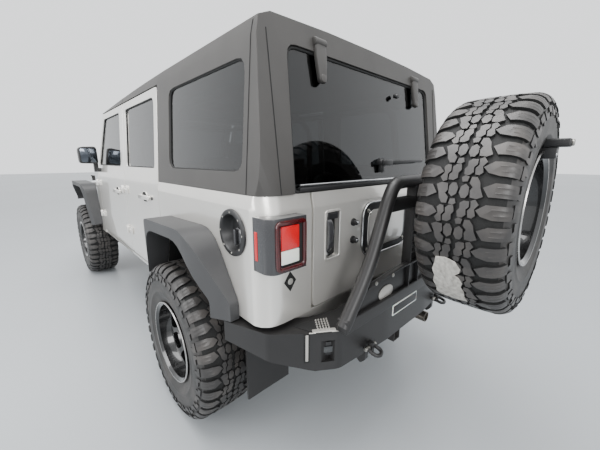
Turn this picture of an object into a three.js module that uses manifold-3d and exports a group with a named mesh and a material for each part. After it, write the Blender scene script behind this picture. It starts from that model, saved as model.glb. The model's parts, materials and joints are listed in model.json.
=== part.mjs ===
// Four-door off-road car: tub and doors, removable hardtop, plastic wheel flares, steel bumpers and a
// swing-out carrier for the spare wheel. Millimetres, +X forward, +Y left, +Z up.
// Lengths along the car are measured from the middle of the wheelbase and heights from the ground;
// the root group then moves the origin to the middle of the car's outer box.
import * as THREE from 'three';
import { mergeVertices } from 'three/addons/utils/BufferGeometryUtils.js';
import Module from 'manifold-3d';

const wasm = await Module();
wasm.setup();

// ---- driving dimensions -------------------------------------------------------------------------
const WHEELBASE = 3008;
const HALF_TRACK = 798;
const TYRE_RADIUS = 442;
const TYRE_WIDTH = 318;
const BEAD_RADIUS = 216;
const RIM_FLANGE_RADIUS = 228;
const TYRE_SIDES = 40;
const RIM_SIDES = 24;
const HUB_FACE = 4;               // rim's mounting face outside the tyre's centre plane

const BODY_HALF_WIDTH = 800;
const SILL_Z = 620;
const FLOOR_Z = 690;
const BELT_Z = 1302;
const RAIL_Z = 1875;
const ROOF_Z = 1979;
const BODY_WALL = 50;
const ROOF_WALL = 30;
const REAR_CORNER_RADIUS = 105;
const REAR_OVERHANG = 701;        // rear axle to the tub's rear face
const FRONT_OVERHANG = 701;       // front axle to the bumper's front face

const DOOR_GAP = 7;
const DOOR_THICKNESS = 55;
const FRAME_THICKNESS = 35;       // the doors' window frames
const DOOR_BOTTOM_Z = 655;
const DOOR_SEAM_X = -290;
const SEAM_GAP = 8;
const GLASS_THICKNESS = 5;
const GLASS_GAP = 0.5;

const GATE_HALF_WIDTH = 527;
const GATE_BOTTOM_Z = 775;
const GATE_THICKNESS = 55;
const GATE_PROUD = 6;

const FLARE_WIDTH = 140;
const ARCH_CLEARANCE = 170;       // above the tyre
const FLARE_LIP = 44;             // height of the front flare's face above its arch
const REAR_FLARE_LIP = 60;

const HOOD_REAR_HALF_WIDTH = 738;
const HOOD_FRONT_HALF_WIDTH = 592;
const HOOD_THICKNESS = 22;

const BUMPER_BOTTOM_Z = 560;
const BUMPER_TOP_Z = 740;
const BUMPER_OVERHANG = 210;      // rear bumper's middle behind the tub's rear face

const CARRIER_TUBE = 30;          // tube radius
const SPARE_Y = -45;
const SPARE_Z = 1242;
const SPARE_OFFSET = 521;         // spare's centre plane behind the tub's rear face

const RAIL_INNER = 330;
const RAIL_OUTER = 400;
const RAIL_BOTTOM_Z = 500;
const RAIL_TOP_Z = 610;

const SEAT_Y = 375;
const SEAT_WIDTH = 480;
const TOUCH = 0.3;                // gap between pieces that touch

const SPRING_Y = 470;
const SPRING_RADIUS = 54;
const SHOCK_RADIUS = 24;
const DISC_RADIUS = 150;
const AXLE_TUBE = 42;             // axle tube's radius
const FRONT_DIFF_RADIUS = 104;    // clears the tie rod behind it
const REAR_DIFF_RADIUS = 142;
const TIE_ROD_RADIUS = 13;
const TIE_ROD_BACK = 95;          // steering arm's length behind the kingpin
const TIE_ROD_DROP = 80;          // tie rod below the axle's centre
const YOKE_REACH = 5;             // axle yoke past the kingpin, clear of the disc at full lock
const PIPE_RADIUS = 26;

// ---- worked out from them -----------------------------------------------------------------------
const FRONT_AXLE_X = WHEELBASE / 2;
const REAR_AXLE_X = -WHEELBASE / 2;
const AXLE_Z = TYRE_RADIUS * Math.cos(Math.PI / TYRE_SIDES);
const TUB_REAR_X = REAR_AXLE_X - REAR_OVERHANG;
const FRONT_BUMPER_X = FRONT_AXLE_X + FRONT_OVERHANG;
const HARDTOP_FRONT_X = REAR_AXLE_X + 396;
const DOOR_FRONT_X = FRONT_AXLE_X - 714;
const FIREWALL_X = DOOR_FRONT_X + DOOR_GAP;
const COWL_FRONT_X = FIREWALL_X + 153;
const WINDSHIELD_TOP_X = DOOR_FRONT_X - 320;
const DOOR_TOP_Z = RAIL_Z - DOOR_GAP;
const KINGPIN_Y = HALF_TRACK - 78;
const SPARE_X = TUB_REAR_X - SPARE_OFFSET;
const BUMPER_X = TUB_REAR_X - BUMPER_OVERHANG;
const CARRIER_X = BUMPER_X + 8;
const CARRIER_PIVOT = [BUMPER_X + 75, -640];
const ENGINE_REAR_X = FRONT_AXLE_X - 374;
const GEARBOX_LENGTH = 625;
const GEARBOX_X = ENGINE_REAR_X - 165 - GEARBOX_LENGTH;
const TRANSFER_X = GEARBOX_X - 280;
const ARCH_TOP_Z = AXLE_Z + TYRE_RADIUS + ARCH_CLEARANCE;
const TYRE_INNER_Y = HALF_TRACK - TYRE_WIDTH / 2;
const BEYOND = BODY_HALF_WIDTH + 100;     // past every panel's side, for tools that cut right through
const INBOARD = BODY_HALF_WIDTH - 200;    // inside every side panel
const SIDES = [['left', 1], ['right', -1]];

// ---- shape helpers ------------------------------------------------------------------------------
// A closed geometry as a solid that can be joined and cut.
function solid(geometry) {
  const bare = geometry.index ? geometry.toNonIndexed() : geometry.clone();
  bare.deleteAttribute('normal');
  bare.deleteAttribute('uv');
  const merged = mergeVertices(bare, 1e-3);
  return new wasm.Manifold(new wasm.Mesh({
    numProp: 3,
    vertProperties: new Float32Array(merged.attributes.position.array),
    triVerts: new Uint32Array(merged.index.array),
  }));
}

function geometryOf(shape) {
  const mesh = shape.getMesh();
  const geometry = new THREE.BufferGeometry();
  geometry.setAttribute('position', new THREE.BufferAttribute(new Float32Array(mesh.vertProperties), 3));
  geometry.setIndex(new THREE.BufferAttribute(new Uint32Array(mesh.triVerts), 1));
  geometry.computeVertexNormals();
  return geometry;
}

function joined(...shapes) {
  return shapes.reduce((whole, shape) => whole.add(shape));
}

function cut(shape, ...tools) {
  return tools.reduce((rest, tool) => rest.subtract(tool), shape);
}

function block(x0, x1, y0, y1, z0, z1) {
  const geometry = new THREE.BoxGeometry(x1 - x0, y1 - y0, z1 - z0);
  geometry.translate((x0 + x1) / 2, (y0 + y1) / 2, (z0 + z1) / 2);
  return solid(geometry);
}

// A cylinder between two points.
function rod(radius, from, to, sides = 12) {
  const start = new THREE.Vector3(...from);
  const along = new THREE.Vector3(...to).sub(start);
  const geometry = new THREE.CylinderGeometry(radius, radius, along.length(), sides);
  geometry.translate(0, along.length() / 2, 0);
  const turn = new THREE.Quaternion().setFromUnitVectors(new THREE.Vector3(0, 1, 0), along.clone().normalize());
  geometry.applyQuaternion(turn);
  geometry.translate(start.x, start.y, start.z);
  return solid(geometry);
}

// A bent tube through points, with rounded bends.
function tube(radius, points, steps, sides = 8) {
  const path = new THREE.CatmullRomCurve3(points.map((p) => new THREE.Vector3(...p)), false, 'catmullrom', 0.15);
  const section = new THREE.Shape();
  section.absarc(0, 0, radius, 0, 2 * Math.PI, false);
  return solid(new THREE.ExtrudeGeometry(section, {
    steps, extrudePath: path, curveSegments: sides / 2, bevelEnabled: false,
  }));
}

// A closed outline from corners [a, b] or [a, b, radius]; the radius rounds that corner, as far as
// the edges beside it leave room.
function outline(corners) {
  const shape = new THREE.Shape();
  const count = corners.length;
  corners.forEach(([a, b, radius = 0], i) => {
    const corner = new THREE.Vector2(a, b);
    const before = new THREE.Vector2(corners[(i + count - 1) % count][0], corners[(i + count - 1) % count][1]);
    const after = new THREE.Vector2(corners[(i + 1) % count][0], corners[(i + 1) % count][1]);
    const fillet = Math.min(radius, before.distanceTo(corner) * 0.48, after.distanceTo(corner) * 0.48);
    const start = corner.clone().add(before.sub(corner).setLength(fillet));
    const end = corner.clone().add(after.sub(corner).setLength(fillet));
    if (i === 0) shape.moveTo(start.x, start.y);
    else shape.lineTo(start.x, start.y);
    if (radius > 0) shape.quadraticCurveTo(corner.x, corner.y, end.x, end.y);
  });
  return shape;
}

function extruded(corners, depth, steps, round) {
  return new THREE.ExtrudeGeometry(outline(corners), { depth, steps, curveSegments: round, bevelEnabled: false });
}

// Side view outline (x, z) given a width from y0 to y1.
function sidePlate(corners, y0, y1, round = 3) {
  const geometry = extruded(corners, y1 - y0, 1, round);
  geometry.rotateX(Math.PI / 2);
  geometry.translate(0, y1, 0);
  return solid(geometry);
}

// Plan outline (x, y) given a height from z0 to z1.
function planPlate(corners, z0, z1, round = 3) {
  const geometry = extruded(corners, z1 - z0, 1, round);
  geometry.translate(0, 0, z0);
  return solid(geometry);
}

// Cross-section (y, z) drawn out along the car from x0 to x1; shape(x, y, z) may move each vertex.
function sectionBar(corners, x0, x1, { steps = 1, round = 3, shape = null } = {}) {
  const geometry = extruded(corners, x1 - x0, steps, round);
  geometry.applyMatrix4(new THREE.Matrix4().set(0, 0, 1, x0, 1, 0, 0, 0, 0, 1, 0, 0, 0, 0, 0, 1));
  return solid(shape ? reshaped(geometry, shape) : geometry);
}

function reshaped(geometry, shape) {
  const at = geometry.attributes.position;
  for (let i = 0; i < at.count; i += 1) at.setXYZ(i, ...shape(at.getX(i), at.getY(i), at.getZ(i)));
  return geometry;
}

// The same solid on the other side of the car.
function mirrored(shape) {
  const mesh = shape.getMesh();
  const points = new Float32Array(mesh.vertProperties);
  for (let i = 1; i < points.length; i += 3) points[i] *= -1;
  const faces = new Uint32Array(mesh.triVerts);
  for (let i = 0; i < faces.length; i += 3) [faces[i], faces[i + 1]] = [faces[i + 1], faces[i]];
  return new wasm.Manifold(new wasm.Mesh({ numProp: 3, vertProperties: points, triVerts: faces }));
}

function both(shape) {
  return shape.add(mirrored(shape));
}

// A ring turned about Y from its (radius, y) profile, with a flat side at the bottom.
function turned(profile, sides) {
  const points = [...profile, profile[0]].map(([r, y]) => new THREE.Vector2(r, y));
  return new THREE.LatheGeometry(points, sides, Math.PI / sides);
}

// ---- materials ----------------------------------------------------------------------------------
function finish(color, roughness, metalness = 0) {
  return () => new THREE.MeshStandardMaterial({ color, roughness, metalness });
}
const SILVER = finish('#b9b7b1', 0.3, 0.6);
const HARDTOP = finish('#4a4947', 0.6);
const FLARE = finish('#47474a', 0.6);
const SATIN = finish('#333231', 0.5, 0.3);
const CHASSIS = finish('#1d1d1e', 0.7, 0.3);
const RUBBER = finish('#1c1a19', 0.9);
const WHEEL = finish('#121213', 0.35, 0.5);
const GLASS = finish('#1d2124', 0.1);
const TRIM = finish('#1b1b1c', 0.7);
const FABRIC = finish('#232224', 0.95);
const LAMP = finish('#a5161a', 0.2);
const STEEL = finish('#8d8f90', 0.4, 0.9);

// ---- the body's skin ----------------------------------------------------------------------------
// How far the outer skin stands in from the widest line, by height.
const SKIN = [[SILL_Z, 15], [SILL_Z + 80, 1], [BELT_Z - 52, 0], [BELT_Z, 8], [RAIL_Z, 55]];

function skinY(z) {
  const last = SKIN.length - 1;
  const i = Math.min(Math.max(SKIN.findIndex(([height]) => height >= z), 1), last);
  const [[z0, inset0], [z1, inset1]] = [SKIN[i - 1], SKIN[i]];
  return BODY_HALF_WIDTH - (inset0 + (inset1 - inset0) * (z - z0) / (z1 - z0));
}

// A band that follows the left skin from z0 to z1, set in from it and as thick as thickness(z).
function skinBand(z0, z1, inset, thickness, x0, x1) {
  const heights = [z0, ...SKIN.map(([z]) => z).filter((z) => z > z0 + 1 && z < z1 - 1), z1];
  const outer = heights.map((z) => [skinY(z) - inset, z]);
  const inner = heights.map((z) => [skinY(z) - inset - thickness(z), z]).reverse();
  return sectionBar([...outer, ...inner], x0, x1);
}

// The rear corners' rounding in plan, as a tall block that leans with the rear face.
function rearRounding(z0, z1, lean) {
  const wide = BODY_HALF_WIDTH + 2;
  const corners = [
    [TUB_REAR_X, -wide, REAR_CORNER_RADIUS], [COWL_FRONT_X, -wide],
    [COWL_FRONT_X, wide], [TUB_REAR_X, wide, REAR_CORNER_RADIUS],
  ];
  const geometry = extruded(corners, z1 - z0, 1, 5);
  geometry.translate(0, 0, z0);
  const narrow = (z) => (z > BELT_Z + 1 ? (skinY(z) + 2) / wide : 1);
  return solid(reshaped(geometry, (x, y, z) => [x + lean * (z - z0), y * narrow(z), z]));
}

// ---- outlines shared by pieces that fit each other ----------------------------------------------
function frontDoorOutline(grow) {
  const rear = DOOR_SEAM_X + SEAM_GAP / 2 - grow;
  return [
    [rear, DOOR_BOTTOM_Z - grow, 25], [DOOR_FRONT_X + grow, DOOR_BOTTOM_Z - grow, 40],
    [DOOR_FRONT_X + grow, BELT_Z + 8 + grow / 2, 12], [WINDSHIELD_TOP_X + grow, DOOR_TOP_Z + grow, 40],
    [rear, DOOR_TOP_Z + grow, 12],
  ];
}

function rearDoorOutline(grow) {
  const front = DOOR_SEAM_X - SEAM_GAP / 2 + grow;
  const rear = HARDTOP_FRONT_X + 8 - grow;
  return [
    [front, DOOR_BOTTOM_Z - grow, 25], [front, DOOR_TOP_Z + grow, 12], [rear, DOOR_TOP_Z + grow, 25],
    [rear, DOOR_BOTTOM_Z + 305 - grow / 2, 30], [rear + 140 + grow / 2, DOOR_BOTTOM_Z - grow, 40],
  ];
}

function frontWindow(shrink) {
  return [
    [DOOR_SEAM_X + 110 + shrink, BELT_Z + 83 + shrink, 30],
    [DOOR_FRONT_X - 75 - shrink * 1.6, BELT_Z + 83 + shrink, 20],
    [WINDSHIELD_TOP_X - 55 - shrink * 1.6, DOOR_TOP_Z - 50 - shrink, 30],
    [DOOR_SEAM_X + 110 + shrink, DOOR_TOP_Z - 50 - shrink, 30],
  ];
}

function rearWindow(shrink) {
  const rear = HARDTOP_FRONT_X + 68;
  return [
    [rear + shrink, BELT_Z + 83 + shrink, 30], [DOOR_SEAM_X - 75 - shrink, BELT_Z + 83 + shrink, 30],
    [DOOR_SEAM_X - 75 - shrink, DOOR_TOP_Z - 50 - shrink, 30], [rear + shrink, DOOR_TOP_Z - 50 - shrink, 50],
  ];
}

function quarterWindow(shrink) {
  const front = REAR_AXLE_X + 208 - shrink;
  const rear = TUB_REAR_X + 139 + shrink;
  return [
    [rear, BELT_Z + 88 + shrink, 60], [front, BELT_Z + 88 + shrink, 60],
    [front, RAIL_Z - 61 - shrink, 60], [rear, RAIL_Z - 61 - shrink, 60],
  ];
}

// Rear glass opening in rear view (y, z).
function rearOpening(shrink) {
  const half = 628 - shrink;
  return [
    [-half, BELT_Z + shrink, 20], [half, BELT_Z + shrink, 20],
    [half - 22, RAIL_Z - shrink, 50], [-half + 22, RAIL_Z - shrink, 50],
  ];
}

function windshieldOpening(shrink) {
  const low = BODY_HALF_WIDTH - 135 - shrink;
  const high = BODY_HALF_WIDTH - 180 - shrink;
  return [
    [-low, BELT_Z + 75 + shrink, 50], [low, BELT_Z + 75 + shrink, 50],
    [high, RAIL_Z - 50 - shrink, 50], [-high, RAIL_Z - 50 - shrink, 50],
  ];
}

// Rear arch in side view: the flare's inner edge, and its outer edge when grown.
function rearArch(grow) {
  const x = REAR_AXLE_X;
  return [
    [x + 455 + grow, SILL_Z - 20], [x + 359 + grow, BUMPER_TOP_Z],
    [x + 229 + grow * 1.3, ARCH_TOP_Z - 3 + grow, 90], [x - 241 - grow * 1.2, ARCH_TOP_Z + 17 + grow, 110],
    [x - 421 - grow * 1.6, ARCH_TOP_Z - 225, 20], [x - 421 - grow * 1.6, SILL_Z - 20],
  ];
}

function frontArch(grow) {
  const x = FRONT_AXLE_X;
  return [
    [x - 495 - grow, BUMPER_TOP_Z - 40], [x - 495 - grow, BUMPER_TOP_Z],
    [x - 420 - grow, ARCH_TOP_Z + 77 + grow, 120], [x + 330 + grow, ARCH_TOP_Z + 77 + grow, 120],
    [x + 455 + grow, ARCH_TOP_Z - 100, 20], [x + 455 + grow, BUMPER_TOP_Z - 40],
  ];
}

// ---- tub ----------------------------------------------------------------------------------------
function lampPocket(grow) {
  return block(TUB_REAR_X - 70, TUB_REAR_X + 50 + grow, 618 - grow, BODY_HALF_WIDTH + 6 + grow, 1012 - grow, 1227 + grow);
}

function fuelPocket(radius) {
  const x = TUB_REAR_X + 205;
  return rod(radius, [x, BODY_HALF_WIDTH - BODY_WALL - 10, BELT_Z - 165], [x, BODY_HALF_WIDTH + 30, BELT_Z - 165], 24);
}

function bodyTub() {
  const half = (z, inset) => skinY(z) - inset;
  const levels = [SILL_Z, SILL_Z + 80, BELT_Z - 52, BELT_Z];
  const ring = [...levels.map((z) => [half(z, 0), z]), ...levels.map((z) => [-half(z, 0), z]).reverse()];
  const outer = sectionBar(ring, TUB_REAR_X, FIREWALL_X + 33).intersect(rearRounding(SILL_Z, BELT_Z, 0));
  const inner = BODY_HALF_WIDTH - BODY_WALL;
  const cabin = planPlate([
    [TUB_REAR_X + GATE_THICKNESS, -inner, REAR_CORNER_RADIUS - BODY_WALL], [FIREWALL_X, -inner],
    [FIREWALL_X, inner], [TUB_REAR_X + GATE_THICKNESS, inner, REAR_CORNER_RADIUS - BODY_WALL],
  ], FLOOR_Z, BELT_Z + 10);
  const bellyHalf = BODY_HALF_WIDTH - 100;
  const belly = block(TUB_REAR_X + 60, COWL_FRONT_X, -bellyHalf, bellyHalf, SILL_Z - 10, FLOOR_Z - 35);
  const rearTail = block(TUB_REAR_X - 10, REAR_AXLE_X - 405, -BEYOND, BEYOND, SILL_Z - 10, BUMPER_TOP_Z + 20);
  const sillStep = both(block(HARDTOP_FRONT_X, FIREWALL_X, BODY_HALF_WIDTH - DOOR_THICKNESS - DOOR_GAP, BEYOND,
    DOOR_BOTTOM_Z - DOOR_GAP, FLOOR_Z + 1));
  const doorHoles = both(joined(
    sidePlate(frontDoorOutline(DOOR_GAP), BODY_HALF_WIDTH - 85, BODY_HALF_WIDTH + 20),
    sidePlate(rearDoorOutline(DOOR_GAP), BODY_HALF_WIDTH - 85, BODY_HALF_WIDTH + 20),
  ));
  const gateGap = GATE_HALF_WIDTH + DOOR_GAP;
  const gateHole = block(TUB_REAR_X - 10, TUB_REAR_X + 80, -gateGap, gateGap, GATE_BOTTOM_Z - DOOR_GAP, BELT_Z + 10);
  const houseInner = TYRE_INNER_Y - 25;
  const wheelhouse = both(sidePlate(rearArch(24), houseInner - 25, BODY_HALF_WIDTH - 20));
  const archHole = both(sidePlate(rearArch(0), houseInner, BODY_HALF_WIDTH + 20));
  const belowFloor = block(TUB_REAR_X, COWL_FRONT_X, -BEYOND, BEYOND, 0, SILL_Z);
  const floorRear = block(TUB_REAR_X + 30, REAR_AXLE_X - 300, -houseInner, houseInner, FLOOR_Z - 35, BUMPER_TOP_Z + 55);
  const pillarOuter = BODY_HALF_WIDTH - DOOR_THICKNESS - DOOR_GAP;
  const pillar = both(block(DOOR_SEAM_X - 50, DOOR_SEAM_X + 50, pillarOuter - 50, pillarOuter, FLOOR_Z - 5, BELT_Z));
  const cowl = block(FIREWALL_X + 1, COWL_FRONT_X, -HOOD_REAR_HALF_WIDTH, HOOD_REAR_HALF_WIDTH, BELT_Z - 125, BELT_Z + 3);
  const hull = joined(cut(outer, cabin, belly, rearTail, doorHoles, sillStep), floorRear, pillar, cowl, wheelhouse);
  const lamps = both(lampPocket(TOUCH));
  return cut(hull, archHole, belowFloor, gateHole, lamps, fuelPocket(98 + TOUCH));
}

// ---- hardtop ------------------------------------------------------------------------------------
// The roof falls away towards the windscreen along a gentle arc.
function roofDrop(x) {
  const ahead = Math.max(0, x - REAR_AXLE_X);
  return 90 * (ahead / 2000) ** 2;
}

function topShell(inset, z0) {
  const crown = [[15, 62], [72, 88], [390, 101]];
  const base = BODY_HALF_WIDTH - inset;
  const wall = z0 < RAIL_Z - 1 ? [[base - 8, z0], [base - 55, RAIL_Z]] : [[base - 55, RAIL_Z]];
  const half = [...wall, ...crown.map(([side, up]) => [base - 55 - side, RAIL_Z + up])];
  const depth = inset > 0 ? inset : 0;
  const corners = half.map(([y, z]) => [y, z > RAIL_Z ? z - depth : z]);
  const ring = [...corners, [0, ROOF_Z - depth], ...corners.map(([y, z]) => [-y, z]).reverse()];
  return sectionBar(ring, TUB_REAR_X - 5, WINDSHIELD_TOP_X + 2, {
    steps: 8,
    shape: (x, y, z) => [x, y, z > RAIL_Z ? RAIL_Z + (z - RAIL_Z) * (1 - roofDrop(x) / 104) : z],
  });
}

const REAR_LEAN = 0.126;

function roofShell() {
  const outer = topShell(0, BELT_Z + TOUCH).intersect(rearRounding(BELT_Z + TOUCH, ROOF_Z + 10, REAR_LEAN));
  const inner = topShell(ROOF_WALL, BELT_Z - 20);
  const rearWall = sidePlate([
    [TUB_REAR_X + 45, BELT_Z - 30], [WINDSHIELD_TOP_X + 50, BELT_Z - 30], [WINDSHIELD_TOP_X + 50, ROOF_Z + 10],
    [TUB_REAR_X + 45 + REAR_LEAN * (ROOF_Z - BELT_Z), ROOF_Z + 10],
  ], -BEYOND, BEYOND);
  return cut(outer, inner.intersect(rearWall));
}

function hardtop(shell) {
  const doorSpace = block(HARDTOP_FRONT_X, WINDSHIELD_TOP_X + 60, -BEYOND, BEYOND, BELT_Z - 10, RAIL_Z);
  const front = block(DOOR_SEAM_X, WINDSHIELD_TOP_X + 60, -BEYOND, BEYOND, BELT_Z, ROOF_Z + 20);
  const windows = both(sidePlate(quarterWindow(0), INBOARD, BEYOND));
  const rearHole = sectionBar(rearOpening(0).map(([y, z, r]) => [y, z < BELT_Z + 1 ? z - 20 : z, r]),
    TUB_REAR_X - 60, TUB_REAR_X + 250);
  return cut(shell, doorSpace, front, windows, rearHole);
}

function roofFrontPanel(shell) {
  return shell.intersect(block(DOOR_SEAM_X + SEAM_GAP, WINDSHIELD_TOP_X - 2, -BEYOND, BEYOND, RAIL_Z, ROOF_Z + 20));
}

function quarterGlass() {
  const band = skinBand(BELT_Z + 20, RAIL_Z - 20, 12, () => GLASS_THICKNESS, TUB_REAR_X, HARDTOP_FRONT_X);
  return band.intersect(sidePlate(quarterWindow(GLASS_GAP), INBOARD, BEYOND));
}

// The rear glass with its lower rail closes onto the tailgate's top edge.
function rearGlass() {
  const base = TUB_REAR_X + 14;
  const top = base + REAR_LEAN * (RAIL_Z - BELT_Z);
  const pane = sidePlate([
    [base, BELT_Z + 6], [base + 14, BELT_Z + 6], [top + 14, RAIL_Z], [top, RAIL_Z],
  ], -700, 700);
  return pane.intersect(sectionBar(rearOpening(6), TUB_REAR_X - 60, TUB_REAR_X + 250));
}

// ---- windscreen ---------------------------------------------------------------------------------
const SCREEN_FOOT_X = DOOR_FRONT_X + 9;
const SCREEN_HEAD_X = WINDSHIELD_TOP_X + 8;

function narrowing(x, y, z) {
  const low = BODY_HALF_WIDTH - 57;
  const high = BODY_HALF_WIDTH - 98;
  const share = (z - BELT_Z) / (RAIL_Z - BELT_Z);
  return [x, Math.sign(y) * (low + (high - low) * share), z];
}

function windshieldFrame() {
  const corners = [
    [SCREEN_FOOT_X, BELT_Z + 12], [SCREEN_FOOT_X + 98, BELT_Z + 12], [SCREEN_HEAD_X + 66, RAIL_Z + 14],
    [SCREEN_HEAD_X, RAIL_Z + 18], [SCREEN_HEAD_X, DOOR_TOP_Z + 6],
  ];
  const geometry = extruded(corners, 2, 1, 3);
  geometry.rotateX(Math.PI / 2);
  geometry.translate(0, 1, 0);
  const plate = solid(reshaped(geometry, narrowing));
  return cut(plate, sectionBar(windshieldOpening(0), SCREEN_HEAD_X - 200, SCREEN_FOOT_X + 200));
}

function windshieldGlass() {
  const foot = SCREEN_FOOT_X + 64;
  const head = SCREEN_HEAD_X + 36;
  const pane = sidePlate([
    [foot, BELT_Z + 12], [foot + 7, BELT_Z + 12], [head + 7, RAIL_Z + 14], [head, RAIL_Z + 14],
  ], -750, 750);
  return pane.intersect(sectionBar(windshieldOpening(GLASS_GAP), SCREEN_HEAD_X - 200, SCREEN_FOOT_X + 200));
}

// ---- doors --------------------------------------------------------------------------------------
function doorThickness(z) {
  return z > BELT_Z - 60 ? FRAME_THICKNESS : DOOR_THICKNESS;
}

function door(doorOutline, windowOutline) {
  const band = skinBand(DOOR_BOTTOM_Z, DOOR_TOP_Z, 0, doorThickness, HARDTOP_FRONT_X, DOOR_FRONT_X + 5);
  const slab = band.intersect(sidePlate(doorOutline(0), INBOARD, BEYOND));
  return cut(slab, sidePlate(windowOutline(0), INBOARD, BEYOND));
}

function doorGlass(windowOutline) {
  const band = skinBand(BELT_Z + 20, DOOR_TOP_Z - 10, 14, () => GLASS_THICKNESS, HARDTOP_FRONT_X, DOOR_FRONT_X + 5);
  return band.intersect(sidePlate(windowOutline(GLASS_GAP), INBOARD, BEYOND));
}

function mirror() {
  const root = skinY(BELT_Z + 90) + TOUCH;
  const housing = sectionBar([
    [root + 22, BELT_Z + 95, 25], [root + 178, BELT_Z + 100, 25], [root + 182, BELT_Z + 262, 40],
    [root + 26, BELT_Z + 270, 30],
  ], DOOR_FRONT_X - 165, DOOR_FRONT_X - 75);
  const arm = block(DOOR_FRONT_X - 140, DOOR_FRONT_X - 85, root - 40, root + 60, BELT_Z + 12, BELT_Z + 52);
  const neck = block(DOOR_FRONT_X - 140, DOOR_FRONT_X - 85, root + 24, root + 60, BELT_Z + 20, BELT_Z + 140);
  const doorSpace = skinBand(BELT_Z - 40, BELT_Z + 300, -TOUCH, () => 90, 0, 2000);
  return cut(joined(housing, arm, neck), doorSpace);
}

function tailgate() {
  const x = TUB_REAR_X - GATE_PROUD;
  const slab = sectionBar([
    [-GATE_HALF_WIDTH, GATE_BOTTOM_Z, 25], [GATE_HALF_WIDTH, GATE_BOTTOM_Z, 25],
    [GATE_HALF_WIDTH, BELT_Z, 6], [-GATE_HALF_WIDTH, BELT_Z, 6],
  ], x, x + GATE_THICKNESS);
  const handleRecess = block(x - 5, x + 32, 352, 445, 987, 1208);
  return cut(slab, handleRecess);
}

// ---- front end ----------------------------------------------------------------------------------
const HOOD_REAR_X = COWL_FRONT_X + 5;
const HOOD_FRONT_X = FRONT_AXLE_X + 470;
const HOOD_FALL = 95;
const HOOD_FLANK = 110;

function hoodShape(x, y, z) {
  const along = (x - HOOD_REAR_X) / (HOOD_FRONT_X - HOOD_REAR_X);
  const narrow = 1 + (HOOD_FRONT_HALF_WIDTH / HOOD_REAR_HALF_WIDTH - 1) * along;
  return [x, y * narrow, z - HOOD_FALL * along ** 1.5];
}

function hood() {
  const w = HOOD_REAR_HALF_WIDTH;
  const t = HOOD_THICKNESS;
  const top = BELT_Z + 48;
  const half = [[w, top - HOOD_FLANK], [w, top - 55], [w - 32, top - 22], [w - 330, top - 3], [w - 360, top + 12]];
  const inner = [[w - t, top - HOOD_FLANK], [w - t, top - 55 - t / 2], [w - 32 - t / 2, top - 22 - t], [w - 330, top - 3 - t]];
  const ring = [
    ...half, ...half.map(([y, z]) => [-y, z]).reverse(), ...inner.map(([y, z]) => [-y, z]), ...inner.slice().reverse(),
  ];
  return sectionBar(ring, HOOD_REAR_X, HOOD_FRONT_X, { steps: 5, shape: hoodShape });
}

function frontFender() {
  const top = frontArch(FLARE_LIP)[2][1] - 18;
  const rearX = FIREWALL_X + 36;
  const frontX = HOOD_FRONT_X;
  const hoodSide = (x) => hoodShape(x, HOOD_REAR_HALF_WIDTH, 0)[1] + DOOR_GAP;
  const innerWall = block(rearX, frontX, 440, 462, FLOOR_Z, top - 45);
  const shelf = planPlate([
    [FRONT_AXLE_X - 520, hoodSide(FRONT_AXLE_X - 520)], [frontX, hoodSide(frontX)], [frontX, hoodSide(frontX) + 40],
    [FRONT_AXLE_X + 60, BODY_HALF_WIDTH - 8], [FRONT_AXLE_X - 520, BODY_HALF_WIDTH - 5],
  ], top - 25, top);
  const deckTop = BELT_Z + 48 - HOOD_FLANK - HOOD_FALL - DOOR_GAP;
  const deck = planPlate([
    [rearX, 440], [frontX, 440], [frontX, hoodSide(frontX) + 30], [rearX, hoodSide(rearX) + 30],
  ], deckTop - 25, deckTop);
  const apron = block(rearX, FRONT_AXLE_X - 500, 440, BODY_HALF_WIDTH - 5, SILL_Z + 5, top);
  const hollow = block(rearX + 25, FRONT_AXLE_X - 525, 380, BODY_HALF_WIDTH - 35, SILL_Z - 20, top + 50);
  const sidePanel = sidePlate([
    [rearX, SILL_Z + 5, 20], [FRONT_AXLE_X - 500, SILL_Z + 5], [FRONT_AXLE_X - 500, top + 12],
    [HOOD_REAR_X + 90, top + 12], [rearX, BELT_Z - 10, 15],
  ], HOOD_REAR_HALF_WIDTH + DOOR_GAP, BODY_HALF_WIDTH - 5);
  const lip = planPlate([
    [rearX, hoodSide(rearX)], [frontX, hoodSide(frontX)], [frontX, hoodSide(frontX) + 30],
    [rearX, hoodSide(rearX) + 30],
  ], Math.min(deckTop, top) - 25, Math.max(deckTop, top) + 30);
  const cabSpace = block(0, FIREWALL_X + 36, 0, BEYOND, 0, 2000);
  return cut(joined(innerWall, deck, shelf, cut(apron, hollow), sidePanel, lip), cabSpace);
}

function frontFlare() {
  const outer = sidePlate(frontArch(FLARE_LIP), BODY_HALF_WIDTH - 4.7, BODY_HALF_WIDTH + FLARE_WIDTH, 4);
  const hole = sidePlate(frontArch(0), BODY_HALF_WIDTH - 40, BODY_HALF_WIDTH + FLARE_WIDTH + 10, 4);
  const below = block(0, 4000, 700, 1000, 0, BUMPER_TOP_Z - 39);
  const belowFront = block(FRONT_AXLE_X, 4000, 700, 1000, 0, ARCH_TOP_Z - 140);
  const ring = cut(outer, hole, below, belowFront);
  const plan = planPlate([
    [FRONT_AXLE_X - 700, 700], [FRONT_AXLE_X + 700, 700], [FRONT_AXLE_X + 500, BODY_HALF_WIDTH + 70, 40],
    [FRONT_AXLE_X + 340, BODY_HALF_WIDTH + FLARE_WIDTH, 60], [FRONT_AXLE_X - 440, BODY_HALF_WIDTH + FLARE_WIDTH, 60],
    [FRONT_AXLE_X - 560, BODY_HALF_WIDTH + 60, 20], [FRONT_AXLE_X - 700, BODY_HALF_WIDTH + 60],
  ], 600, 1400);
  return ring.intersect(plan);
}

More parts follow.
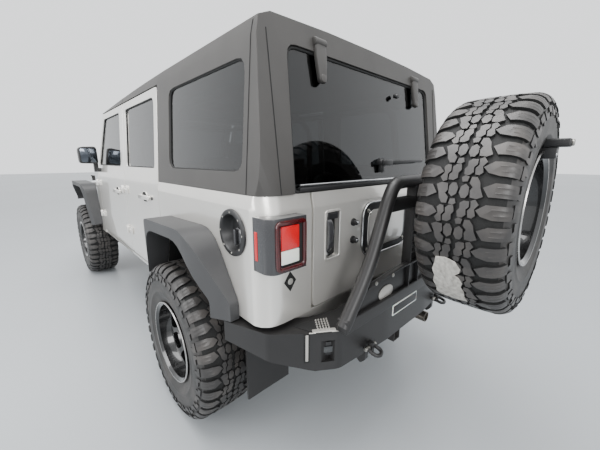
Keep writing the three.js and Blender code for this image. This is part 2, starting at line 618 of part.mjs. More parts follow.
function rearFlare() {
  const outer = sidePlate(rearArch(REAR_FLARE_LIP), BODY_HALF_WIDTH + TOUCH, BODY_HALF_WIDTH + FLARE_WIDTH, 4);
  const hole = sidePlate(rearArch(0), BODY_HALF_WIDTH - 10, BODY_HALF_WIDTH + FLARE_WIDTH + 10, 4);
  const below = block(-4000, 0, 700, 1000, 0, BUMPER_TOP_Z + 5);
  const x = REAR_AXLE_X;
  const plan = planPlate([
    [x + 500, 700], [x + 500, BODY_HALF_WIDTH + 40], [x + 380, BODY_HALF_WIDTH + FLARE_WIDTH - 30, 30],
    [x + 260, BODY_HALF_WIDTH + FLARE_WIDTH, 40], [x - 330, BODY_HALF_WIDTH + FLARE_WIDTH, 60],
    [x - 500, BODY_HALF_WIDTH + 50, 30], [x - 560, BODY_HALF_WIDTH + 30], [x - 560, 700],
  ], 600, 1400);
  return cut(outer, hole, below).intersect(plan);
}

function grille() {
  const x = HOOD_FRONT_X + 8;
  const half = HOOD_FRONT_HALF_WIDTH;
  const top = BELT_Z + 48 - HOOD_FALL - 20;
  const face = sectionBar([
    [-half + 40, BUMPER_TOP_Z + 20, 30], [half - 40, BUMPER_TOP_Z + 20, 30], [half, top - 60, 40],
    [half - 60, top, 40], [-half + 60, top, 40], [-half, top - 60, 40],
  ], x, x + 52);
  const slots = [0, 1, 2, 3].map((row) => block(x - 5, x + 60, -330, 330, 880 + row * 72, 920 + row * 72));
  const lampHoles = both(rod(92, [x + 25, 455, 1010], [x + 70, 455, 1010], 20));
  return cut(face, ...slots, lampHoles);
}

function frontBumper() {
  const x = FRONT_BUMPER_X;
  const bar = planPlate([
    [x - 145, -470], [x - 213, -480], [x - 213, -850], [x - 130, -855, 20], [x - 10, -540, 30], [x, -300, 30],
    [x, 300, 30], [x - 10, 540, 30], [x - 130, 855, 20], [x - 213, 850], [x - 213, 480], [x - 145, 470],
  ], BUMPER_BOTTOM_Z, BUMPER_TOP_Z);
  const tips = both(sectionBar([
    [560, BUMPER_BOTTOM_Z - 20], [900, BUMPER_BOTTOM_Z - 20], [900, BUMPER_BOTTOM_Z + 75],
  ], x - 230, x + 20));
  return cut(bar, tips);
}

// ---- chassis ------------------------------------------------------------------------------------
function frame() {
  const rearX = TUB_REAR_X - 30;
  const frontX = FRONT_BUMPER_X - 145.3;
  const rail = block(rearX, frontX, RAIL_INNER, RAIL_OUTER, RAIL_BOTTOM_Z, RAIL_TOP_Z);
  const mounts = [-1900, -1150, -350, 450].map(
    (x) => block(x - 45, x + 45, RAIL_INNER, RAIL_OUTER + 60, RAIL_TOP_Z - 5, FLOOR_Z - 35 - TOUCH));
  const springSeat = block(FRONT_AXLE_X - 70, FRONT_AXLE_X + 70, RAIL_INNER, RAIL_OUTER + 140, RAIL_TOP_Z - 5, RAIL_TOP_Z + 25);
  const armBracket = block(FRONT_AXLE_X - 730, FRONT_AXLE_X - 690, 345, 395, 425, RAIL_BOTTOM_Z + 5);
  const rearArmBracket = block(REAR_AXLE_X + 700, REAR_AXLE_X + 740, 345, 395, 425, RAIL_BOTTOM_Z + 5);
  const beamX = GEARBOX_X + 75;
  const hanger = block(beamX, beamX + 60, RAIL_INNER, RAIL_OUTER, 420, RAIL_BOTTOM_Z + 5);
  const side = both(joined(rail, ...mounts, springSeat, armBracket, rearArmBracket, hanger));
  const cross = [[rearX, rearX + 60], [-700, -640], [FRONT_AXLE_X + 330, FRONT_AXLE_X + 400]].map(
    ([x0, x1]) => block(x0, x1, -RAIL_OUTER, RAIL_OUTER, RAIL_TOP_Z - 60, RAIL_TOP_Z));
  const gearboxBeam = block(beamX, beamX + 60, -RAIL_OUTER, RAIL_OUTER, 420, 460);
  const hitch = block(BUMPER_X + 50, rearX + 60, -32, 32, 440, 504);
  const hitchStem = block(rearX, rearX + 60, -60, 60, 440, RAIL_TOP_Z - 20);
  const receiver = block(BUMPER_X + 40, BUMPER_X + 160, -25, 25, 447, 497);
  return cut(joined(side, ...cross, gearboxBeam, hitch, hitchStem), receiver);
}

function powertrain() {
  const engine = block(ENGINE_REAR_X, ENGINE_REAR_X + 590, -250, 250, 600, 1110);
  const bell = block(GEARBOX_X + GEARBOX_LENGTH - 5, ENGINE_REAR_X + 5, -180, 180, 560, 650);
  const bellTop = block(ENGINE_REAR_X - 130, ENGINE_REAR_X + 5, -180, 180, 560, 800);
  const gearbox = block(GEARBOX_X, GEARBOX_X + GEARBOX_LENGTH, -130, 130, 520, 645);
  const transfer = block(TRANSFER_X, GEARBOX_X + 5, -120, 210, 480, 640);
  const frontShaft = rod(26, [GEARBOX_X - 10, 165, 520], [FRONT_AXLE_X - 171, 200, AXLE_Z + 10]);
  const rearShaft = rod(30, [TRANSFER_X + 10, 0, 560], [REAR_AXLE_X + 186, 0, AXLE_Z + 10]);
  return joined(engine, bell, bellTop, gearbox, transfer, frontShaft, rearShaft);
}

function axleEnd() {
  const z = AXLE_Z;
  const riser = block(FRONT_AXLE_X - 26, FRONT_AXLE_X + 26, KINGPIN_Y - 140, KINGPIN_Y - 105, z - 125, z + 125);
  const arms = joined(
    block(FRONT_AXLE_X - 26, FRONT_AXLE_X + 26, KINGPIN_Y - 140, KINGPIN_Y + YOKE_REACH, z + 96, z + 125),
    block(FRONT_AXLE_X - 26, FRONT_AXLE_X + 26, KINGPIN_Y - 140, KINGPIN_Y + YOKE_REACH, z - 125, z - 96),
  );
  return joined(riser, arms);
}

function armPlate(x, towards) {
  const z = AXLE_Z;
  const tip = x + towards * 684;
  return sidePlate([[x, z - 38], [tip, 440], [tip, 478], [x, z]], 350, 390);
}

function frontAxle() {
  const x = FRONT_AXLE_X;
  const beam = rod(AXLE_TUBE, [x, -(KINGPIN_Y - 110), AXLE_Z], [x, KINGPIN_Y - 110, AXLE_Z]);
  const diff = new THREE.SphereGeometry(FRONT_DIFF_RADIUS, 12, 8);
  diff.scale(1, 0.85, 1);
  diff.translate(x, 200, AXLE_Z);
  const pinion = rod(50, [x - 168, 200, AXLE_Z + 8], [x, 200, AXLE_Z]);
  const spring = rod(SPRING_RADIUS, [x, SPRING_Y, AXLE_Z], [x, SPRING_Y, RAIL_TOP_Z - 5 - TOUCH]);
  const shock = rod(SHOCK_RADIUS, [x - 108, SPRING_Y, AXLE_Z - 10], [x - 108, SPRING_Y, FLOOR_Z - 20]);
  const perch = block(x - 134, x + 60, 420, 520, AXLE_Z - 25, AXLE_Z + 20);
  return joined(beam, solid(diff), pinion, both(joined(spring, shock, perch, axleEnd(), armPlate(x, -1))));
}

function rearAxle() {
  const x = REAR_AXLE_X;
  const hub = HALF_TRACK + 28;
  const beam = rod(AXLE_TUBE, [x, -hub + 30, AXLE_Z], [x, hub - 30, AXLE_Z]);
  const diff = new THREE.SphereGeometry(REAR_DIFF_RADIUS, 12, 8);
  diff.scale(1, 0.85, 1);
  diff.translate(x, 0, AXLE_Z);
  const pinion = rod(52, [x, 0, AXLE_Z], [x + 183, 0, AXLE_Z + 10]);
  const spring = rod(SPRING_RADIUS, [x + 30, SPRING_Y, AXLE_Z], [x + 30, SPRING_Y, FLOOR_Z - 35 - TOUCH]);
  const shock = rod(SHOCK_RADIUS, [x - 85, 500, AXLE_Z - 10], [x - 85, 500, FLOOR_Z - 36]);
  const perch = block(x - 110, x + 60, 420, 530, AXLE_Z - 25, AXLE_Z + 20);
  const disc = rod(DISC_RADIUS, [x, TYRE_INNER_Y + 70, AXLE_Z], [x, TYRE_INNER_Y + 95, AXLE_Z], 20);
  const spindle = rod(31, [x, hub - 60, AXLE_Z], [x, hub, AXLE_Z], 16);
  return joined(beam, solid(diff), pinion, both(joined(spring, shock, perch, disc, spindle, armPlate(x, 1))));
}

function knuckle() {
  const x = FRONT_AXLE_X;
  const z = AXLE_Z;
  const post = block(x - 28, x + 28, KINGPIN_Y - 20, KINGPIN_Y + 25, z - 88, z + 88);
  const disc = rod(DISC_RADIUS, [x, KINGPIN_Y + 24, z], [x, KINGPIN_Y + 46, z], 20);
  const spindle = rod(31, [x, KINGPIN_Y + 40, z], [x, HALF_TRACK + 28, z], 16);
  const armBottom = z - TIE_ROD_DROP + TIE_ROD_RADIUS + 7;
  const arm = block(x - TIE_ROD_BACK - 18, x, KINGPIN_Y - 20, KINGPIN_Y + 10, armBottom, armBottom + 22);
  return joined(post, disc, spindle, arm);
}

function tieRod() {
  const x = FRONT_AXLE_X - TIE_ROD_BACK;
  const z = AXLE_Z - TIE_ROD_DROP;
  return rod(TIE_ROD_RADIUS, [x, -KINGPIN_Y + 5, z], [x, KINGPIN_Y - 5, z], 10);
}

function exhaust() {
  const x = TUB_REAR_X;
  const muffler = new THREE.CylinderGeometry(80, 80, 500, 14);
  muffler.scale(1, 1, 0.8);
  muffler.translate(x + 165, -60, 480);
  const front = tube(PIPE_RADIUS, [
    [FRONT_AXLE_X - 370, -215, 520], [600, -240, 494], [-200, -240, 494], [REAR_AXLE_X + 260, -240, 500],
    [REAR_AXLE_X + 120, -240, 555], [REAR_AXLE_X - 140, -240, 555], [REAR_AXLE_X - 330, -240, 500],
    [x + 165, -240, 480],
  ], 26, 8);
  const tail = tube(PIPE_RADIUS, [
    [x + 165, -240, 480], [x + 80, -270, 470], [x + 20, -360, 440], [x - 40, -391, 430], [x - 120, -391, 427],
  ], 8, 8);
  const tip = rod(34, [x - 90, -391, 428], [x - 160, -391, 426], 14);
  const bore = rod(28, [x - 110, -391, 427.5], [x - 170, -391, 425.8], 14);
  return cut(joined(solid(muffler), front, tail, tip), bore);
}

function fuelTank() {
  return sidePlate([
    [-1000, 420, 20], [-960, 380, 20], [-290, 380, 20], [-250, 420, 20], [-250, 540, 20], [-1000, 540, 20],
  ], 60, RAIL_INNER - 10);
}

// ---- rear end -----------------------------------------------------------------------------------
function rearBumper() {
  const wingX = Math.min(REAR_AXLE_X - 477, REAR_AXLE_X - TYRE_RADIUS - 35);
  const half = [[BUMPER_X, 216, 30], [BUMPER_X + 30, 543, 20], [BUMPER_X + 104, 652, 20], [BUMPER_X + 214, 779, 20]];
  const plan = [
    [wingX, -856], [wingX, -790], [wingX - 140, -700], [TUB_REAR_X - 10, -560], [TUB_REAR_X - 45, -440],
    [TUB_REAR_X - 45, 440], [TUB_REAR_X - 10, 560], [wingX - 140, 700], [wingX, 790], [wingX, 856],
    ...half.slice().reverse(), ...half.map(([x, y, r]) => [x, -y, r]),
  ];
  const body = planPlate(plan, BUMPER_BOTTOM_Z, BUMPER_TOP_Z);
  const undercut = both(sectionBar([
    [600, BUMPER_BOTTOM_Z - 10], [900, BUMPER_BOTTOM_Z - 10], [900, BUMPER_BOTTOM_Z + 105], [760, BUMPER_BOTTOM_Z + 45],
  ], TUB_REAR_X - 300, wingX + 50));
  const lampPocketTool = block(BUMPER_X - 40, BUMPER_X + 75, 560, 700, 600, 700);
  const flapX = wingX - 60;
  const flap = block(flapX - 10, flapX, 540, 790, 330, FLOOR_Z - 45);
  const hook = both(sidePlate([
    [BUMPER_X + 70, BUMPER_BOTTOM_Z + 5], [BUMPER_X + 12, BUMPER_BOTTOM_Z + 5], [BUMPER_X + 12, 520, 12],
    [BUMPER_X + 40, 492, 12], [BUMPER_X + 70, 520, 12],
  ], 348, 372));
  return joined(cut(body, undercut, both(lampPocketTool)), both(flap), hook);
}

function tyreCarrier() {
  const x = CARRIER_X;
  const low = BUMPER_TOP_Z + 6;
  const [pivotX, pivotY] = CARRIER_PIVOT;
  const r = CARRIER_TUBE;
  const hoop = tube(r, [
    [x, 552, low + r], [x, 392, 971], [x, 262, 1268], [x, 196, 1328], [x, 120, 1340], [x, -120, 1340],
    [x, -196, 1328], [x, -262, 1268], [x, -392, 971], [x, -552, low + r],
  ], 32, 10);
  const beam = block(x - 26, x + 26, -600, 560, low, low + 60);
  const gusset = sectionBar([
    [-480, low + 20], [480, low + 20], [415, 905], [150, 930], [-150, 930], [-415, 905],
  ], x - 6, x + 6);
  const post = block(x - 5, x + 5, -50, 50, low + 30, 1330);
  const holes = [0, 1, 2, 3, 4, 5].map((i) => block(x - 20, x + 20, -26, 26, 965 + i * 58, 995 + i * 58));
  const drum = rod(70, [x + 4, SPARE_Y, SPARE_Z], [SPARE_X - HUB_FACE + TOUCH, SPARE_Y, SPARE_Z], 16);
  const arms = joined(
    block(x - 24, x + 24, -420, 330, SPARE_Z - 30, SPARE_Z + 30),
    block(x - 22, x + 22, SPARE_Y - 85, SPARE_Y + 85, SPARE_Z - 85, SPARE_Z + 85),
  ).intersect(sectionBar([[-300, 1190], [300, 1190], [285, 1215], [262, 1268], [-262, 1268], [-285, 1215]], x - 40, x + 40));
  const sleeve = rod(36, [pivotX, pivotY, low], [pivotX, pivotY, low + 150], 16);
  const knee = planPlate([
    [x - 26, -560], [x + 26, -560], [pivotX + 20, pivotY + 25], [pivotX - 10, pivotY - 25], [x - 26, pivotY + 20],
  ], low, low + 60);
  return joined(cut(joined(post, hoop, beam, gusset), ...holes), drum, arms, sleeve, knee);
}

// ---- wheels -------------------------------------------------------------------------------------
function tyreGeometry() {
  const w = TYRE_WIDTH / 2;
  const r = TYRE_RADIUS;
  return turned([
    [BEAD_RADIUS, -w + 26], [RIM_FLANGE_RADIUS + 24, -w + 18], [r - 97, -w], [r - 17, -w + 13], [r, -w + 47],
    [r, w - 47], [r - 17, w - 13], [r - 97, w], [RIM_FLANGE_RADIUS + 24, w - 18], [BEAD_RADIUS, w - 26],
  ], TYRE_SIDES);
}

// The barrel, its two flanges and the disc that bolts to the hub; +y faces out.
function rimGeometry() {
  const w = TYRE_WIDTH / 2 - 10;
  const bed = BEAD_RADIUS - 5;
  return turned([
    [34, HUB_FACE], [80, HUB_FACE], [150, 30], [bed - 18, 20], [bed - 18, -w], [RIM_FLANGE_RADIUS, -w],
    [RIM_FLANGE_RADIUS, -w + 9], [bed, -w + 12], [bed, w - 12], [RIM_FLANGE_RADIUS, w - 9], [RIM_FLANGE_RADIUS, w],
    [bed - 18, w - 8], [150, 52], [80, HUB_FACE + 20], [34, HUB_FACE + 20],
  ], RIM_SIDES);
}

// ---- cabin --------------------------------------------------------------------------------------
function dashboard() {
  const x = FIREWALL_X - 2;
  const pad = sidePlate([
    [x - 190, 1000, 30], [x - 222, 1180, 30], [x - 160, BELT_Z - 15, 40], [x, BELT_Z - 6], [x, 1000],
  ], -BODY_HALF_WIDTH + 62, BODY_HALF_WIDTH - 62);
  const wheel = turned([[166, 0], [174, -13], [186, -13], [194, 0], [186, 13], [174, 13]], 20);
  wheel.rotateX(Math.PI / 2);
  wheel.rotateY(0.44 - Math.PI / 2);
  wheel.translate(x - 320, SEAT_Y, 1208);
  const spoke = rod(24, [x - 306, SEAT_Y - 172, 1206], [x - 306, SEAT_Y + 172, 1206], 8);
  const hub = rod(60, [x - 330, SEAT_Y, 1214], [x - 270, SEAT_Y, 1186]);
  const column = rod(30, [x - 300, SEAT_Y, 1200], [x - 190, SEAT_Y, 1148]);
  return joined(pad, solid(wheel), spoke, hub, column);
}

function frontSeat() {
  const foot = FLOOR_Z + 0.5;
  return sidePlate([
    [-60, foot], [290, foot], [290, 830], [378, 860, 40], [384, 1020, 50], [60, 985, 40], [-60, 1420, 60],
    [-75, 1640, 50], [-185, 1640, 50], [-215, 1420, 60], [-130, 900, 60], [-60, 850],
  ], SEAT_Y - SEAT_WIDTH / 2, SEAT_Y + SEAT_WIDTH / 2);
}

function rearSeat() {
  const foot = FLOOR_Z + 0.5;
  return sidePlate([
    [-1010, foot], [-640, foot], [-640, 830], [-560, 850, 40], [-552, 1010, 50], [-930, 985, 40],
    [-1075, 1440, 50], [-1180, 1440, 50], [-1060, 900, 60], [-1010, 850],
  ], -540, 540);
}

function rollCage() {
  const y = 625;
  const top = RAIL_Z - 65;
  const foot = FLOOR_Z + 0.5;
  const hoop = (x) => tube(24, [
    [x, y, foot], [x, y, top - 110], [x, y - 60, top - 10], [x, y - 160, top + 8], [x, -y + 160, top + 8],
    [x, -y + 60, top - 10], [x, -y, top - 110], [x, -y, foot],
  ], 22, 6);
  const rail = both(rod(22, [WINDSHIELD_TOP_X - 60, y - 70, top - 14], [TUB_REAR_X + 310, y - 70, top - 14], 8));
  const rearLeg = both(rod(22, [TUB_REAR_X + 300, y - 70, top - 14], [TUB_REAR_X + 210, y - 70, BELT_Z], 8));
  const header = rod(22, [WINDSHIELD_TOP_X - 60, -y + 60, top - 14], [WINDSHIELD_TOP_X - 60, y - 60, top - 14], 8);
  return joined(hoop(DOOR_SEAM_X - 10), hoop(HARDTOP_FRONT_X + 70), rail, rearLeg, header);
}

function tailLight() {
  const box = lampPocket(0);
  const corner = planPlate([
    [TUB_REAR_X - 55, 600, 20], [TUB_REAR_X + 60, 600], [TUB_REAR_X + 60, BODY_HALF_WIDTH + 5, 10],
    [TUB_REAR_X - 25, BODY_HALF_WIDTH + 5, 50], [TUB_REAR_X - 55, 780, 30],
  ], 900, 1300);
  return box.intersect(corner);
}

function fuelFiller() {
  const x = TUB_REAR_X + 205;
  const z = BELT_Z - 165;
  const y = BODY_HALF_WIDTH;
  const cup = rod(98, [x, y - 46, z], [x, y + 5, z], 24);
  const well = rod(78, [x, y - 40, z], [x, y + 20, z], 24);
  const cap = rod(40, [x, y - 42, z], [x, y - 8, z], 16);
  return joined(cut(cup, well), cap);
}

// ---- assembly -----------------------------------------------------------------------------------
const car = new THREE.Group();

function add(name, shape, material, group = car) {
  const geometry = shape.isBufferGeometry ? shape : geometryOf(shape);
  const mesh = new THREE.Mesh(geometry, material());
  mesh.name = name;
  group.add(mesh);
  return mesh;
}

// A left piece and its mirror image on the right.
function addPair(name, shape, material) {
  add(`${name}_left`, shape, material);
  add(`${name}_right`, mirrored(shape), material);
}

function addWheel(name, x, y, z, turn) {
  const wheel = new THREE.Group();
  wheel.position.set(x, y, z);
  wheel.rotation.z = turn;
  add(`${name}_tyre`, tyreGeometry(), RUBBER, wheel);
  add(`${name}_rim`, rimGeometry(), WHEEL, wheel);
  car.add(wheel);
}

function addBody() {
  const shell = roofShell();
  add('body_tub', bodyTub(), SILVER);
  add('hardtop', hardtop(shell), HARDTOP);
  add('roof_front_panel', roofFrontPanel(shell), HARDTOP);
  add('windshield_frame', windshieldFrame(), SILVER);
  add('windshield_glass', windshieldGlass(), GLASS);
  addPair('quarter_glass', quarterGlass(), GLASS);
  add('rear_glass', rearGlass(), GLASS);
  add('hood', hood(), SILVER);
  add('grille', grille(), SILVER);
  addPair('front_fender', frontFender(), SILVER);
  addPair('front_flare', frontFlare(), FLARE);
  addPair('rear_flare', rearFlare(), FLARE);
  addPair('front_door', door(frontDoorOutline, frontWindow), SILVER);
  addPair('rear_door', door(rearDoorOutline, rearWindow), SILVER);
  addPair('front_door_glass', doorGlass(frontWindow), GLASS);
  addPair('rear_door_glass', doorGlass(rearWindow), GLASS);
  addPair('mirror', mirror(), TRIM);
  add('tailgate', tailgate(), SILVER);
  addPair('tail_light', tailLight(), LAMP);
  add('fuel_filler', fuelFiller(), TRIM);
}

function addChassis() {
  add('frame', frame(), CHASSIS);
  add('powertrain', powertrain(), STEEL);
  add('front_axle', frontAxle(), CHASSIS);
  add('rear_axle', rearAxle(), CHASSIS);
  addPair('knuckle', knuckle(), CHASSIS);
  add('tie_rod', tieRod(), CHASSIS);
  add('exhaust', exhaust(), STEEL);
  add('fuel_tank', fuelTank(), CHASSIS);
  add('front_bumper', frontBumper(), SATIN);
  add('rear_bumper', rearBumper(), SATIN);
  add('tyre_carrier', tyreCarrier(), SATIN);
}

function addWheels() {
  for (const [side, sign] of SIDES) {
    const turn = sign > 0 ? 0 : Math.PI;
    addWheel(`front_${side}`, FRONT_AXLE_X, sign * HALF_TRACK, AXLE_Z, turn);
    addWheel(`rear_${side}`, REAR_AXLE_X, sign * HALF_TRACK, AXLE_Z, turn);
  }
  addWheel('spare', SPARE_X, SPARE_Y, SPARE_Z, Math.PI / 2);
}

function addCabin() {
  add('dashboard', dashboard(), TRIM);
  addPair('front_seat', frontSeat(), FABRIC);
  add('rear_seat', rearSeat(), FABRIC);
  add('roll_cage', rollCage(), TRIM);
}

addBody();
addChassis();
addWheels();
addCabin();

// The origin is on the ground under the middle of the car's outer box.
const REAR_EXTENT_X = SPARE_X - TYRE_WIDTH / 2;
car.position.x = -(FRONT_BUMPER_X + REAR_EXTENT_X) / 2;

export default car;
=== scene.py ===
"""A four-door off-road car: its panels, glass, wheels, lamps, seats and trim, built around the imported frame.

Metres, +X forward, +Y to the car's left, +Z up, in the frame's own place.
"""

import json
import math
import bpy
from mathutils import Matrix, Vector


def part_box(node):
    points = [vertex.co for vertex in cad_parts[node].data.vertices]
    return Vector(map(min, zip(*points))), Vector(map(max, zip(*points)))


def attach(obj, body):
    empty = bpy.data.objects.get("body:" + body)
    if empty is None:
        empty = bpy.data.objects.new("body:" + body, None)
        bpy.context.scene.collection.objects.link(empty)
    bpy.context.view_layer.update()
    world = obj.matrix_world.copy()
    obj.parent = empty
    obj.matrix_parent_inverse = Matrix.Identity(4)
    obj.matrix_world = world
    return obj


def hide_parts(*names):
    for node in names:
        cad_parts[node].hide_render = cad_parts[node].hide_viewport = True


bl_info = {
    "name": "Off-road car",
    "version": (1, 0, 0),
    "blender": (4, 5, 0),
    "location": "3D View > Sidebar > Off-road car",
    "description": "Builds the car's panels, glass, wheels, lamps, seats and trim around its frame",
    "category": "Object",
}

import bpy
import numpy as np
from mathutils import Matrix, Vector

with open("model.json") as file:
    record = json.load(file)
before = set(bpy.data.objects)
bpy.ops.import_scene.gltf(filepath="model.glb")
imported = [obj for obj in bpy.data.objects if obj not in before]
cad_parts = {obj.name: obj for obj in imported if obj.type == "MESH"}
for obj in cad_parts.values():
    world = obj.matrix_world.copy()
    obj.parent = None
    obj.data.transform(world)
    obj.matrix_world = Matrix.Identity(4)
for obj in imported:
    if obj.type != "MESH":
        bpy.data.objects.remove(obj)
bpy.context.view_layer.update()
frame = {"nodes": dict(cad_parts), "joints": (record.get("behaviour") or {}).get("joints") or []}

SIDES = (("left", 1), ("right", -1))
BACK = Vector((-1, 0, 0))
UP = Vector((0, 0, 1))


# ---- places and sizes taken from the frame ------------------------------------------------------
def middle(node):
    low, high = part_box(node)
    return (low + high) / 2


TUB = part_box("body_tub")
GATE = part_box("tailgate")
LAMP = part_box("tail_light_left")
REAR_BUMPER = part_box("rear_bumper")
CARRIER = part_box("tyre_carrier")
REAR_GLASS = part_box("rear_glass")
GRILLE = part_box("grille")
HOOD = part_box("hood")
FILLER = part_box("fuel_filler")
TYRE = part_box("rear_left_tyre")
SPARE = middle("spare_tyre")
REAR_HUB = Vector((middle("rear_left_tyre").x, 0, middle("rear_left_tyre").z))
FRONT_HUB = Vector((middle("front_left_tyre").x, 0, middle("front_left_tyre").z))
HALF_TRACK = middle("rear_left_tyre").y
TYRE_RADIUS = SPARE.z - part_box("spare_tyre")[0].z
TYRE_HALF_WIDTH = (TYRE[1].y - TYRE[0].y) / 2
BODY_SIDE = TUB[1].y
BELT = GATE[1].z
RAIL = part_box("front_door_left")[1].z
REAR_LEAN = 0.126


# ---- colours ------------------------------------------------------------------------------------
def hex_colour(code):
    """An sRGB hex colour as the linear red, green, blue and alpha that shaders take."""
    channels = [int(code[i:i + 2], 16) / 255 for i in (1, 3, 5)]
    linear = [c / 12.92 if c <= 0.04045 else ((c + 0.055) / 1.055) ** 2.4 for c in channels]
    return (*linear, 1.0)


def colour_property(name, code, description):
    return bpy.props.FloatVectorProperty(
        name=name, description=description, subtype="COLOR", size=4, min=0, max=1, default=hex_colour(code))


def length_property(name, default, description):
    return bpy.props.FloatProperty(
        name=name, description=description, subtype="DISTANCE", unit="LENGTH", min=0, default=default)


class OffroadFinishes(bpy.types.PropertyGroup):
    """Colours a user would change."""

    paint: colour_property("Body paint", "#e2dfd9", "Silver body paint under its clear coat")
    hardtop: colour_property("Hardtop", "#3d3b39", "Textured paint of the removable top")
    flare: colour_property("Flares", "#39393a", "Moulded plastic of the wheel flares")
    steelwork: colour_property("Bumpers and carrier", "#242323", "Powder coat of bumpers and carrier")
    rubber: colour_property("Tyres", "#2e2c2b", "Tread and sidewall rubber")
    rim: colour_property("Rims", "#141415", "Gloss black of the rims")
    cloth: colour_property("Seat cloth", "#2a2a2c", "Woven cloth of the seats")


class OffroadSizes(bpy.types.PropertyGroup):
    """Sizes a user would change."""

    tread_depth: length_property("Tread depth", 0.013, "Height of the tread blocks over the carcass")
    tread_pitches: bpy.props.IntProperty(
        name="Tread pitches", description="Repeats of the tread round the tyre", min=12, max=40, default=20)
    spokes: bpy.props.IntProperty(
        name="Rim windows", description="Windows between the rim's spokes", min=5, max=12, default=8)
    gasket: length_property("Window gasket", 0.0065, "Radius of the rubber bead round fixed glass")
    panel_edge: length_property("Panel edge", 0.005, "Rounding of the folded panel edges")
    spring_turns: bpy.props.FloatProperty(
        name="Spring turns", description="Turns of each coil spring", min=3, max=12, default=6)


# ---- modelling helpers --------------------------------------------------------------------------
def only(*objects):
    """Selects these objects and nothing else, with the last one active."""
    if bpy.context.mode != "OBJECT":
        bpy.ops.object.mode_set(mode="OBJECT")
    bpy.ops.object.select_all(action="DESELECT")
    for each in objects:
        each.select_set(True)
    bpy.context.view_layer.objects.active = objects[-1]


def settled(obj):
    """Puts the object's place, turn and scale into its mesh."""
    only(obj)
    bpy.ops.object.transform_apply(location=True, rotation=True, scale=True)
    return obj


def edited(obj, *steps):
    """Runs edit-mode operators, each on the whole mesh."""
    only(obj)
    bpy.ops.object.mode_set(mode="EDIT")
    for step, settings in steps:
        bpy.ops.mesh.select_all(action="SELECT")
        step(**settings)
    bpy.ops.object.mode_set(mode="OBJECT")
    return obj


def closed(obj, merge=1e-5):
    """Merges doubled points and turns every face outwards."""
    return edited(
        obj,
        (bpy.ops.mesh.remove_doubles, {"threshold": merge}),
        (bpy.ops.mesh.dissolve_degenerate, {}),
        (bpy.ops.mesh.normals_make_consistent, {"inside": False}))


def modified(obj, kind, **settings):
    """Adds a modifier and applies it."""
    only(obj)
    modifier = obj.modifiers.new(kind.lower(), kind)
    for key, value in settings.items():
        setattr(modifier, key, value)
    bpy.ops.object.modifier_apply(modifier=modifier.name)
    return obj


def smoothed(obj, degrees=35):
    only(obj)
    bpy.ops.object.shade_smooth_by_angle(angle=math.radians(degrees))
    return obj


def rounded(obj, width, segments=2, degrees=30):
    """Rounds the edges that turn by more than the angle, then shades the rest smooth."""
    if width > 0:
        modified(obj, "BEVEL", width=width, segments=segments, limit_method="ANGLE",
                 angle_limit=math.radians(degrees), use_clamp_overlap=True, harden_normals=False)
    return smoothed(obj)


def block(low, high, edge=0.002, segments=2):
    """A rectangular piece between two corners, with its edges rounded."""
    low, high = Vector(low), Vector(high)
    bpy.ops.mesh.primitive_cube_add(size=1, location=(low + high) / 2, scale=high - low)
    return rounded(settled(bpy.context.object), edge, segments)


def bar(radius, start, end, sides=24, edge=0.0015, tip=None):
    """A round piece between two points; tip is its radius at the far end."""
    start, end = Vector(start), Vector(end)
    along = end - start
    bpy.ops.mesh.primitive_cone_add(
        vertices=sides, radius1=radius, radius2=radius if tip is None else tip, depth=along.length,
        location=(start + end) / 2, rotation=along.to_track_quat("Z", "Y").to_euler())
    return rounded(settled(bpy.context.object), edge, 2)


def outline_mesh(points, filled):
    bpy.ops.mesh.primitive_circle_add(vertices=len(points), fill_type="NGON" if filled else "NOTHING")
    obj = bpy.context.object
    obj.data.vertices.foreach_set("co", np.array([tuple(p) for p in points], float).ravel())
    return obj


def plate(points, push, edge=0.002, segments=2):
    """A flat outline drawn out along a vector."""
    obj = outline_mesh(points, True)
    edited(obj, (bpy.ops.mesh.extrude_region_move, {"TRANSFORM_OT_translate": {"value": tuple(push)}}),
           (bpy.ops.mesh.normals_make_consistent, {"inside": False}))
    return rounded(obj, edge, segments)


def ring(profile, centre, axis=(0, 1, 0), steps=48):
    """A profile of (radius, height along the axis) turned all the way round."""
    centre, axis = Vector(centre), Vector(axis)
    radial = axis.orthogonal().normalized()
    points = [centre + radial * r + axis * a for r, a in profile]
    obj = outline_mesh(points, False)
    only(obj)
    bpy.ops.object.mode_set(mode="EDIT")
    bpy.ops.mesh.select_all(action="SELECT")
    bpy.ops.mesh.spin(steps=steps, angle=2 * math.pi, center=centre, axis=axis)
    bpy.ops.object.mode_set(mode="OBJECT")
    return smoothed(closed(obj), 40)


def bent(points, radius, steps=6):
    """The path with each inner corner rounded to the radius."""
    points = [Vector(p) for p in points]
    path = [points[0]]
    for before, corner, after in zip(points, points[1:], points[2:]):
        into, out = (before - corner), (after - corner)
        reach = min(radius, into.length * 0.48, out.length * 0.48)
        start, end = corner + into.normalized() * reach, corner + out.normalized() * reach
        for i in range(steps + 1):
            t = i / steps
            path.append(start * (1 - t) ** 2 + corner * 2 * t * (1 - t) + end * t * t)
    return path + [points[-1]]


